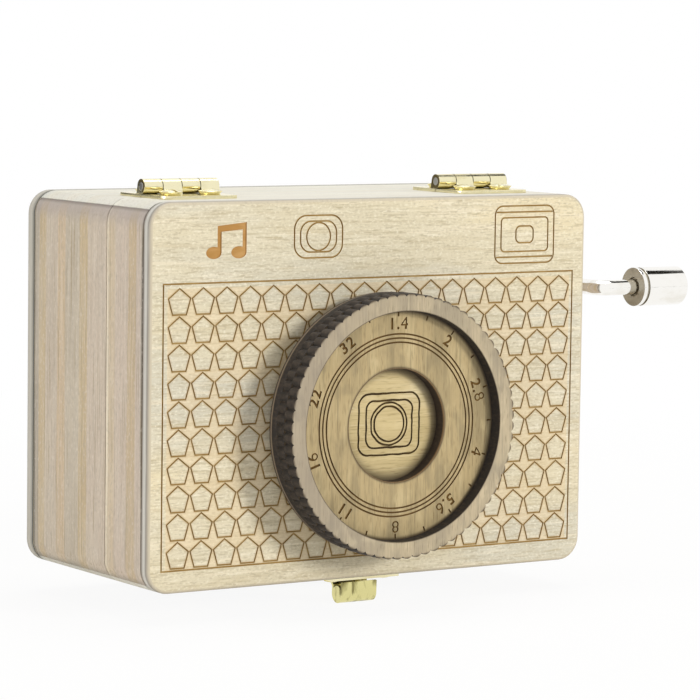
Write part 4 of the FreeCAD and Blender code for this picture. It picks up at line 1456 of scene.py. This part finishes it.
def beamed_note(centre: Point, width: float, height: float, steps: int = 20) -> Loop:
    """Draw two quavers under one beam.

    Args:
        centre: the middle of the figure.
        width: its whole width.
        height: its whole height.
        steps: how many pieces the outline of a head has.

    Returns:
        One closed outline.
    """
    # Every part is a share of the whole figure.
    head = (width * 0.19, height * 0.17)
    stem = width * 0.1
    beam = height * 0.2
    rise = height * 0.09
    slope = rise * 0.6
    left = centre[0] - width / 2 + head[0]
    right = centre[0] + width / 2 - head[0]
    low = centre[1] - height / 2 + head[1]
    top = centre[1] + height / 2
    join = math.acos((head[0] - stem) / head[0])
    turns = [join + (2 * math.pi - join) * i / steps for i in range(steps + 1)]
    heads = [[(x + head[0] * math.cos(t), low + head[1] * math.sin(t)) for t in turns] for x in (left, right)]
    return [
        *heads[0],
        (left + head[0], top - beam - slope),
        (right + head[0] - stem, top - beam),
        *heads[1],
        (right + head[0], top),
        (left + head[0] - stem, top - rise),
    ]


@dataclass
class FrontPanel(EngravedPlate):
    """The engraved front of the lid, a camera's face in lines. Its sizes are in millimetres.

    Centres lie to the right of the left edge, or for the finder to the left of the right edge, and below
    the top edge. A frame's shape is its width, its height and the radius of its corners.
    """

    node: str = "front_panel"
    easing: float = 0.6
    corner_radius: float = 5.0
    frame_margins: Spot = (3.2, 4.7, 16.6)
    window_centre: Point = (40.1, 7.7)
    window_frames: tuple[Spot, ...] = ((11.75, 8.8, 2.8), (8.8, 6.4, 2.4))
    window_ring: float = 2.9
    finder_centre: Point = (16.1, 8.4)
    finder_frames: tuple[Spot, ...] = ((15.45, 12.3, 1.9), (12.3, 7.3, 0.9), (4.55, 3.6, 1.1))
    finder_lines: float = 9.65
    note_centre: Point = (17.9, 8.05)
    note_size: Point = (9.6, 7.4)
    lattice: PentagonLattice = PentagonLattice()

    # How many pieces the ring in the window has.
    ring_steps = 64
    # The layers of the ply: where each begins behind the front, and its tone.
    ply_layers = (
        (0.0, "#CDC2AA"),
        (0.45, "#A9A093"),
        (0.8, "#8F8A82"),
        (1.2, "#C3BFB5"),
        (1.8, "#CDCAC2"),
        (2.3, "#A39C92"),
        (2.75, "#7B746B"),
    )

    @cached_property
    def size(self) -> Point:
        """Return the panel's width and height in millimetres."""
        lo, hi = self.corners
        return ((hi.x - lo.x) / MM, (hi.z - lo.z) / MM)

    def outlines(self, inset: float) -> list[Loop]:
        """Return the panel's rim, drawn in by an inset."""
        width, height = self.size
        size = (width - 2 * inset, height - 2 * inset)
        return [rounded_rectangle((width / 2, height / 2), size, self.corner_radius - inset)]

    def engraving(self) -> list[Loop]:
        """Draw the lattice's frame, the two windows and the note.

        Returns:
            Both sides of every line.
        """
        width, height = self.size
        side, bottom, top = self.frame_margins
        frame = (width - 2 * side, height - bottom - top)
        middle = (width / 2, bottom + frame[1] / 2)
        loops = [rectangle(middle, frame[0] + grow, frame[1] + grow) for grow in (self.line, -self.line)]
        window = (self.window_centre[0], height - self.window_centre[1])
        finder = (width - self.finder_centre[0], height - self.finder_centre[1])
        for centre, frames in ((window, self.window_frames), (finder, self.finder_frames)):
            for shape in frames:
                loops += frame_line(centre, shape, self.line)
        loops += ring_line(window, self.window_ring, self.line, self.ring_steps)
        length = self.finder_frames[0][0] - 2 * self.line
        for up in (self.finder_lines / 2, -self.finder_lines / 2):
            loops.append(rectangle((finder[0], finder[1] + up), length, self.line))
        note = (self.note_centre[0], height - self.note_centre[1])
        return [*loops, beamed_note(note, *self.note_size)]

    def groove_place(self, middle: Vector) -> Place:
        """Give the note its lighter toasted floor, and the lines theirs."""
        x = abs(middle.x - self.note_centre[0]) < self.note_size[0]
        z = abs(middle.y - self.size[1] + self.note_centre[1]) < self.note_size[1]
        return Place.FILL if x and z else Place.LINE

    def face_tree(self) -> tuple[EngravedFaceTree, dict]:
        """Return the tree with the pentagons, and its values."""
        lattice = self.lattice
        values = {
            "Columns": lattice.columns,
            "Rows": lattice.rows,
            "Column pitch": lattice.column_pitch,
            "Row pitch": lattice.row_pitch,
            "Middle": (*lattice.middle(), 0.0),
            "Radius": lattice.radius,
            "Stretch": lattice.stretch,
            "Line": lattice.line,
        }
        return PentagonTree(), values

    def finishes(self) -> list[Finish]:
        """Return the face, the lines, the rim, the back and the note's floor."""
        return [
            EngravedBasswood("sanded_engraved_basswood", self.lattice, self.origin),
            # Lines that the laser's point burnt lightly, which look toasted brown.
            ScorchedWood("laser_line", "#A2834C", "#BC9F66"),
            PlyEdge("panel_edge", self.origin.y, 1, self.ply_layers),
            # The same ply, sanded and left plain, which looks cream like the face.
            PlainPly("panel_back", Axis.ACROSS, "#E0D3B6", "#CDBF9E", "#E9DFC8", "#B7A57F"),
            # A floor that the laser toasted in passes, which looks orange brown.
            ScorchedWood("toasted_fill", "#B3864A", "#C69C64"),
        ]


@dataclass
class EngravedDisc(EngravedPlate):
    """An engraved plate that is round, with the drawing's zero in its middle."""

    easing: float = 0.1

    @cached_property
    def origin(self) -> Vector:
        """Return the middle of the front face."""
        return round_front(self.node)[0]

    @cached_property
    def radius(self) -> float:
        """Return the radius, at the crests of a knurled rim, in millimetres."""
        return round_front(self.node)[1]


@dataclass
class DialPlate(EngravedDisc):
    """The lens's middle plate: a knurled disc with a bore, three circles and a ring of numbers.

    Its sizes are in millimetres. Between the numbers and on them, a ring of ticks lies further out.
    """

    node: str = "lens_middle_plate"
    knurls: int = 72
    phase: float = 0.5
    notch: float = 0.6
    bore: float = 11.9
    circles: Spot = (19.15, 18.28, 17.4)
    numbers: tuple[str, ...] = ("1.4", "2", "2.8", "4", "5.6", "8", "11", "16", "22", "32")
    number_height: float = 2.35
    number_ring: float = 21.2
    boldness: float = 0.09
    tick_ring: float = 23.3
    tick_length: float = 1.0

    # A numeral's height as a share of its type's size, the space between numerals, the pieces of
    # a curve, and the distance in millimetres at which two points of a numeral are one.
    numeral_share = 0.7
    spacing = 1.2
    curve_steps = 3
    numeral_weld = 0.005
    # How many pieces the bore and the circles have.
    bore_steps = 96
    circle_steps = 128

    def outlines(self, inset: float) -> list[Loop]:
        """Return the knurled rim and the bore, drawn in by an inset."""
        rim = scalloped_circle(self.radius - inset, self.notch, self.knurls, self.phase)
        return [rim, circle((0.0, 0.0), self.bore + inset, self.bore_steps)]

    def engraving(self) -> list[Loop]:
        """Return the circles and the numbers."""
        loops = []
        for radius in self.circles:
            loops += ring_line((0.0, 0.0), radius, self.line, self.circle_steps)
        for place, number in enumerate(self.numbers):
            loops += self.number_loops(number, 2 * math.pi * place / len(self.numbers))
        return loops

    def number_loops(self, number: str, turn: float) -> list[Loop]:
        """Draw a number with its head outwards.

        Args:
            number: its numerals.
            turn: how far it is turned clockwise from the top.

        Returns:
            The outlines of its numerals.
        """
        words = bpy.data.curves.new("number", "FONT")
        words.body = number
        words.size = self.number_height / self.numeral_share
        words.align_x = "CENTER"
        words.align_y = "CENTER"
        words.fill_mode = "NONE"
        words.resolution_u = self.curve_steps
        words.space_character = self.spacing
        mesh = plain_mesh("number", words)
        place = Matrix.Rotation(-turn, 4, "Z") @ Matrix.Translation((0.0, self.number_ring, 0.0))
        mesh.transform(place)
        loops = closed_loops(mesh, self.numeral_weld)
        thick = []
        for loop in loops:
            hole = any(holds(other, loop[0]) for other in loops if other is not loop)
            thick.append(swollen(loop, -self.boldness if hole else self.boldness))
        return thick

    def groove_place(self, middle: Vector) -> Place:
        """Give the numbers and ticks, which lie outside the circles, their lighter floors."""
        return Place.FILL if middle.xy.length > self.circles[0] + self.line else Place.LINE

    def face_tree(self) -> tuple[EngravedFaceTree, dict]:
        """Return the tree with the ticks, and its values."""
        ticks = 2 * len(self.numbers)
        values = {"Ticks": ticks, "Ring": self.tick_ring, "Length": self.tick_length, "Line": self.line}
        return TickTree(), values

    def finishes(self) -> list[Finish]:
        """Return the face, the lines, the rim, the back, the numbers' floors and the bore."""
        middle, crest = self.origin, self.radius
        # Smoke darkens the bore's edge and the rim. At the front ring's bore the dark ring is partly its
        # burnt edge and partly painted shade where the ring meets the plate.
        singed = ((self.bore, 0.7), (RING_BORE, 0.9), (crest, 3.0))
        # Stained ply between two discs, an olive tan that stays darker than theirs.
        tones = ("#B7A37A", "#918364", "#CAB88E", "#77643F")
        face = PlainPly("dial_ply", Axis.UP, *tones, middle, singed, mottling=0.6)
        # The circles were burnt slowly and are dark. The numbers went faster and are toasted.
        line = ScorchedWood("dial_line", "#5F4829", "#775C33")
        number = ScorchedWood("toasted_number", "#644A24", "#86693A")
        rim = BurntRim.knurled("dial_rim", middle, crest)
        # The bore is out of reach of any rubbing, and sooty but for its front edge, which is toasted.
        bore = {"soot": "#2E2218", "rubbed": "#4A3827", "band": middle.y, "toasted": "#8A6E4C", "reach": 0.7}
        bore = BurntRim("dial_bore", middle, crest, crest + 1.0, **bore)
        return [face, line, rim, face, number, bore]


@dataclass
class BaseDisc(EngravedDisc):
    """The lens's base disc, with two rounded frames and two circles drawn by an unsteady beam.

    Its sizes are in millimetres: each frame's width, height and corner radius, each circle's radius, how
    far the lines waver and over what length, how far apart their points are at most, how far a paler
    layer of ply lies from the back, and the radius and width of the ring of painted shade that the wall of
    the plate's bore casts on the disc.
    """

    node: str = "lens_base_disc"
    line: float = 0.42
    frames: tuple[Spot, ...] = ((15.1, 12.9, 2.4), (11.5, 9.9, 1.9))
    rings: Point = (4.5, 3.7)
    waver: float = 0.16
    waver_pitch: float = 1.7
    waver_seed: int = 11
    point_pitch: float = 0.5
    pale_layer: float = 0.7
    smoke_ring: Point = (12.2, 3.0)

    # How many pieces the rim and the circles have.
    edge_steps = 128
    ring_steps = 96

    def outlines(self, inset: float) -> list[Loop]:
        """Return the round rim, drawn in by an inset."""
        return [circle((0.0, 0.0), self.radius - inset, self.edge_steps)]

    def engraving(self) -> list[Loop]:
        """Return the frames and the circles, all a little unsteady."""
        noise.seed_set(self.waver_seed)
        loops = []
        for shape in self.frames:
            loops += frame_line((0.0, 0.0), shape, self.line)
        for radius in self.rings:
            loops += ring_line((0.0, 0.0), radius, self.line, self.ring_steps)
        return [[self.shaken(point) for point in self.divided(loop)] for loop in loops]

    def divided(self, loop: Loop) -> Loop:
        """Put more points on a loop.

        Args:
            loop: a closed loop.

        Returns:
            The loop with points no further apart than the point pitch.
        """
        points = []
        for start, end in zip(loop, [*loop[1:], loop[0]]):
            parts = max(1, math.ceil(math.dist(start, end) / self.point_pitch))
            step = ((end[0] - start[0]) / parts, (end[1] - start[1]) / parts)
            points += [(start[0] + step[0] * i, start[1] + step[1] * i) for i in range(parts)]
        return points

    def shaken(self, point: Point) -> Point:
        """Move a point by a smooth, fixed waver."""
        shift = noise.noise_vector(Vector((*point, 0.0)) / self.waver_pitch) * self.waver
        return (point[0] + shift.x, point[1] + shift.y)

    def finishes(self) -> list[Finish]:
        """Return the face, the lines, the rim and the back."""
        middle, radius = self.origin, self.radius
        # Ply stained a clear yellow tan, the brightest wood of the lens, with painted shade round its middle,
        # where the wall of the plate's bore casts its shadow.
        tones = ("#D2BF90", "#BAA779", "#E2D3AD", "#8C7648")
        singed = ((radius, 4.0), self.smoke_ring)
        face = PlainPly("base_ply", Axis.ACROSS, *tones, middle, singed)
        # Lines burnt deep, almost black.
        line = ScorchedWood("base_line", "#3E2F1A", "#54401F")
        # A sooty rim that is hardly rubbed, with one paler layer near its back.
        band = self.corners[1].y - self.pale_layer * MM
        rim = BurntRim("base_rim", middle, radius + 0.1, radius + 0.5, band=band)
        return [face, line, rim, face]


@dataclass
class LensDiscs:
    """The lens's knurled front ring, and the spacer behind its base disc."""

    easing: float = 0.1

    def build(self, bench: Bench) -> None:
        """Dress both discs, each with sanded faces and burnt edges.

        Args:
            bench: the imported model.
        """
        middle, radius = round_front("lens_front_ring")
        # Ply stained a greyish tan and handled, so that its stain is blotchy. Its left side is greyed with
        # painted shade.
        tones = ("#BAAB8F", "#9B907C", "#CFC0A1", "#65573F")
        singed = ((RING_BORE, 0.3), (radius, 0.6))
        ply = PlainPly("ring_ply", Axis.UP, *tones, middle, singed, "#958A7C", 0.7).material()
        # The ring's crests are rubbed by fingers, and the spacer's edge hardly at all.
        edges = {
            "lens_front_ring": BurntRim.knurled("ring_rim", middle, radius),
            "lens_spacer_disc": BurntRim("spacer_rim", middle, radius, radius + 0.5),
        }
        for node, edge in edges.items():
            bench.ease(node, self.easing, [ply, edge.material()], SandedFaces(node))


@dataclass
class WoodenCase:
    """The eight boards of the case and the lid, and the rear panel.

    Attributes:
        easing: how wide the eased edges are, in millimetres.
        level_bleach: how much paler and greyer the level boards are painted, as a sheen of glancing light.
    """

    easing: float = 0.25
    level_bleach: float = 0.75

    # The layers of the rear ply: where each begins before the rear face, and its tone.
    rear_layers = ((0.0, "#B3AFA5"), (1.4, "#BDB8AC"), (2.3, "#8D8A80"), (2.7, "#54534D"))

    def build(self, bench: Bench) -> None:
        """Dress the boards and the rear panel.

        Args:
            bench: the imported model.
        """
        lo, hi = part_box("front_panel")
        ends = (lo.z, hi.z)
        upright = StripedBoard("striped_side_board", Axis.UP, lo.y, ends).material()
        level = StripedBoard("striped_level_board", Axis.ACROSS, lo.y, ends, self.level_bleach).material()
        boards = {"left": upright, "right": upright, "top": level, "bottom": level}
        for shell in ("case", "lid"):
            for side, finish in boards.items():
                bench.ease(f"{shell}_{side}_board", self.easing, [finish])
        # Basswood ply, sanded and left bare: a matt cream, a little darker than the front.
        face = PlainPly("rear_ply", Axis.ACROSS, "#DDD0B2", "#CBBE9F", "#E7DCC3", "#AE9D78")
        edge = PlyEdge("rear_edge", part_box("back_panel")[1].y, -1, self.rear_layers)
        finishes = [face.material(), edge.material()]
        bench.ease("back_panel", self.easing, finishes, SandedFaces("back_panel"))


@dataclass
class MetalParts:
    """Everything of metal, each group of nodes with its finish and its easing.

    Attributes:
        easing: how wide the eased edges are, in millimetres.
        leaf_easing: the same for the hinges' leaves, which are rounder.
        sharp: the nodes whose teeth, pins or thread stay sharp.
        turned: the nodes with faces that the lathe left satin.
    """

    easing: float = 0.08
    leaf_easing: float = 0.16
    sharp: tuple[str, ...] = ("pin_cylinder", "worm_shaft", "worm_wheel", "comb")
    turned: tuple[str, ...] = ("crank_knob", "knob_bush")

    def slot_finishes(self) -> dict[str, Metal]:
        """Return the finish of each metal slot."""
        return {
            # Brass sheet, rolled and polished: a pale yellow mirror with slightly softer patches.
            "yellow_brass": Metal("polished_yellow_brass", "#F1E9C3", "#DDD1A2", 0.15, 0.28),
            # Steel, turned and bare: a neutral grey with a soft highlight.
            "pin_steel": Metal("turned_steel", "#C4C3C0", "#A9A7A2", 0.22, 0.36),
            # Spring steel, ground along the teeth: a cool grey that is a little duller.
            "comb_steel": Metal("ground_spring_steel", "#B9BBBE", "#9A9CA0", 0.26, 0.38, Axis.UP),
            # Zinc, cast and nickelled without polish: a warm satin grey that blurs what it reflects.
            "movement_casting": Metal("nickelled_casting", "#C9C0A8", "#B0A68C", 0.32, 0.48),
            # Brass, turned and bare: a deeper yellow than the polished sheet.
            "movement_brass": Metal("turned_brass", "#DCC583", "#BFA35E", 0.22, 0.36),
            # Steel, polished and nickel plated: an almost white mirror with sharp reflections.
            "polished_nickel": Metal("polished_nickel_plate", "#F8F6F1", "#EAE6DC", 0.05, 0.1),
        }

    def build(self, bench: Bench) -> None:
        """Dress the hinges, the clasp, the crank and the movement.

        Args:
            bench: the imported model.
        """
        materials = {slot: finish.material() for slot, finish in self.slot_finishes().items()}
        # Thin brass, pressed to shape and glossy. Its dark olive patches between bright bands are painted
        # reflections of its folds.
        painted_reflections = {"patch": (4.6, 1.9), "patchy": 0.95}
        clasp = Metal("pressed_clasp_brass", "#DFD798", "#6F6636", 0.1, 0.25, Axis.UP, **painted_reflections).material()
        # Nickel plate over the lathe's fine rings: a soft grey with no clear reflection, tinted slightly
        # brown as a painted reflection of the wooden case beside it.
        satin = Metal("satin_nickel_face", "#BDB7A8", "#A9A190", 0.4, 0.55).material()
        # Painted shade on the knuckles' ends: a dull dark olive that draws the gaps between the knuckles.
        knuckle_gap_shade = Metal("tarnished_knuckle_end", "#6F6342", "#4F452C", 0.35, 0.5).material()
        for node, slot in bench.slots.items():
            if slot not in materials:
                continue
            metal = clasp if bench.bodies[node] == "clasp" else materials[slot]
            if node.endswith("_leaf"):
                bench.ease(node, self.leaf_easing, [metal, knuckle_gap_shade], KnuckleEnds(node))
            else:
                easing = 0.0 if node in self.sharp else self.easing
                pick = TurnedFaces(node) if node in self.turned else Sorter()
                bench.ease(node, easing, [metal, satin], pick)


# The studio


def stand_sheet(name: str, corners: Sequence, material: Material) -> bpy.types.Object:
    """Stand up one flat sheet as a part of the stage.

    Args:
        name: the sheet's name.
        corners: its four corners, in metres.
        material: its material.

    Returns:
        The sheet.
    """
    mesh = bpy.data.meshes.new(name)
    mesh.from_pydata(corners, [], [(0, 1, 2, 3)])
    mesh.materials.append(material)
    sheet = add_object(name, mesh)
    sheet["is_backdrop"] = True
    return sheet


@dataclass(frozen=True)
class SoftLamp:
    """A square soft lamp that faces the object.

    Attributes:
        name: the lamp's name.
        place: its middle, in millimetres.
        size: the length of its side, in millimetres.
        power: its power, in watts.
        colour: its hex colour.
        in_gloss: whether polished metal shows the lamp itself.
    """

    name: str
    place: Spot
    size: float
    power: float
    colour: str = "#FFFFFF"
    in_gloss: bool = True

    # The point that every lamp faces, in millimetres.
    aim = (0.0, 0.0, 40.0)

    def hang(self) -> None:
        """Hang the lamp."""
        light = bpy.data.lights.new(self.name, "AREA")
        light.shape = "SQUARE"
        light.size = self.size * MM
        light.energy = self.power
        light.color = srgb(self.colour)[:3]
        lamp = add_object(self.name, light)
        lamp.visible_glossy = self.in_gloss
        lamp.location = Vector(self.place) * MM
        lamp.rotation_mode = "QUATERNION"
        lamp.rotation_quaternion = (Vector(self.place) - Vector(self.aim)).to_track_quat("Z", "Y")


@dataclass(frozen=True)
class DarkBoard:
    """A dark board that only shows in polished metal, as a dim part of a room does.

    Attributes:
        name: the board's name.
        place: its middle, in millimetres.
        across: from its middle to the middle of one side, in millimetres.
        up: from its middle to the middle of a neighbouring side, in millimetres.
    """

    name: str
    place: Spot
    across: Spot
    up: Spot

    colour = "#2A2925"
    hidden_from = ("camera", "diffuse", "transmission", "volume_scatter", "shadow")

    def stand(self) -> None:
        """Stand up the board."""
        middle, right, top = (Vector(v) * MM for v in (self.place, self.across, self.up))
        corners = [middle - right - top, middle + right - top, middle + right + top, middle - right + top]
        material = new_material(self.name)
        tree = material.node_tree
        matt = add_node(tree, "ShaderNodeBsdfDiffuse", {"Color": self.colour})
        add_node(tree, "ShaderNodeOutputMaterial", {"Surface": matt}, give=None)
        board = stand_sheet(self.name, corners, material)
        for ray in self.hidden_from:
            setattr(board, "visible_" + ray, False)


@dataclass
class Studio:
    """The pale floor, the white surroundings, the soft lamps and the camera.

    Attributes:
        eye: where the camera stands, in millimetres.
        target: the point that it looks at, in millimetres.
        roll: how far it is turned about its view, in degrees.
        lens: its focal length, in millimetres.
        floor_reach: the floor's half width, in metres.
        floor_gap: how far it lies below the object, in millimetres.
        shadow: the distances in metres between which the object's shadow fades away.
        floor_glow: how much of the floor's white is its own, next to the object.
        room_light: the strength of the surroundings as a lamp.
    """

    eye: Spot = (-426.01, -646.76, 125.23)
    target: Spot = (-22.02, -20.3, 54.62)
    roll: float = 0.787
    lens: float = 184.11
    floor_reach: float = 3.0
    floor_gap: float = 0.05
    shadow: Point = (0.1, 0.4)
    floor_glow: float = 0.92
    room_light: float = 0.38

    # The width of the camera's sensor, in millimetres, and the nearest that it sees, in metres.
    sensor = 36.0
    nearest = 0.01
    lamps = (
        SoftLamp("key", (1200.0, -2380.0, 780.0), 600.0, 43.0, "#FFFDF8", in_gloss=False),
        SoftLamp("left", (-970.0, -90.0, 180.0), 500.0, 4.0),
        SoftLamp("top", (100.0, 60.0, 900.0), 500.0, 4.3),
    )
    boards = (
        DarkBoard("ceiling_gap", (350.0, 88.0, 520.0), (85.0, 0.0, 0.0), (0.0, 175.0, 0.0)),
        DarkBoard("dark_screen", (-195.0, 300.0, 75.0), (105.0, 0.0, 0.0), (0.0, 0.0, 75.0)),
        DarkBoard("table_edge", (600.0, -1500.0, 20.0), (600.0, 0.0, 0.0), (0.0, 0.0, 12.5)),
    )

    def build(self) -> None:
        """Make everything around the object."""
        self.floor()
        self.surroundings()
        for lamp in self.lamps:
            lamp.hang()
        for board in self.boards:
            board.stand()
        self.camera()

    def floor(self) -> None:
        """Make the plain floor, which the camera sees as white apart from the object's shadow."""
        reach = self.floor_reach
        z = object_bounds()[0].z - self.floor_gap * MM
        corners = [(-reach, -reach, z), (reach, -reach, z), (reach, reach, z), (-reach, reach, z)]
        material = new_material("pale_floor")
        tree = material.node_tree
        place = add_node(tree, "ShaderNodeTexCoord", give="Object")
        away = add_node(tree, "ShaderNodeVectorMath", (place,), give="Value", operation="LENGTH")
        fade = (away, *self.shadow, self.floor_glow, 1.0)
        fade = add_node(tree, "ShaderNodeMapRange", fade, interpolation_type="SMOOTHSTEP")
        share = add_node(tree, "ShaderNodeMath", (seen_directly(tree), fade), operation="MULTIPLY")
        matt = add_node(tree, "ShaderNodeBsdfDiffuse", {"Color": "#F0EEEA"})
        glow = add_node(tree, "ShaderNodeEmission", {"Color": "#FFFFFF", "Strength": 1.0})
        surface = add_node(tree, "ShaderNodeMixShader", (share, matt, glow))
        add_node(tree, "ShaderNodeOutputMaterial", {"Surface": surface}, give=None)
        stand_sheet("floor", corners, material)

    def surroundings(self) -> None:
        """Make the world white to the camera and to reflections, and a soft grey as a lamp."""
        world = bpy.data.worlds.new("white_room")
        world.use_nodes = True
        tree = world.node_tree
        tree.nodes.clear()
        shades = [seen_directly(tree)]
        for strength in (self.room_light, 1.0):
            inputs = {"Color": "#FFFFFF", "Strength": strength}
            shades.append(add_node(tree, "ShaderNodeBackground", inputs))
        surface = add_node(tree, "ShaderNodeMixShader", shades)
        add_node(tree, "ShaderNodeOutputWorld", {"Surface": surface}, give=None)
        bpy.context.scene.world = world

    def camera(self) -> None:
        """Stand the camera where the photograph was taken from."""
        data = bpy.data.cameras.new("camera")
        data.sensor_width = self.sensor
        data.lens = self.lens
        data.clip_start = self.nearest
        camera = add_object("camera", data)
        forward = Vector(self.target) - Vector(self.eye)
        camera.location = Vector(self.eye) * MM
        camera.rotation_mode = "QUATERNION"
        level = forward.to_track_quat("-Z", "Y")
        camera.rotation_quaternion = level @ Quaternion((0.0, 0.0, 1.0), math.radians(self.roll))
        bpy.context.scene.camera = camera


def main() -> None:
    """Build the music box and its studio."""
    logging.basicConfig(level=logging.INFO, format="%(name)s: %(message)s")
    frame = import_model()
    bench = Bench.from_frame(frame)
    bpy.context.scene.view_settings.view_transform = "Standard"
    Studio().build()
    for assembly in (FrontPanel(), DialPlate(), BaseDisc(), LensDiscs(), WoodenCase(), MetalParts()):
        assembly.build(bench)


if __name__ == "__main__":
    main()
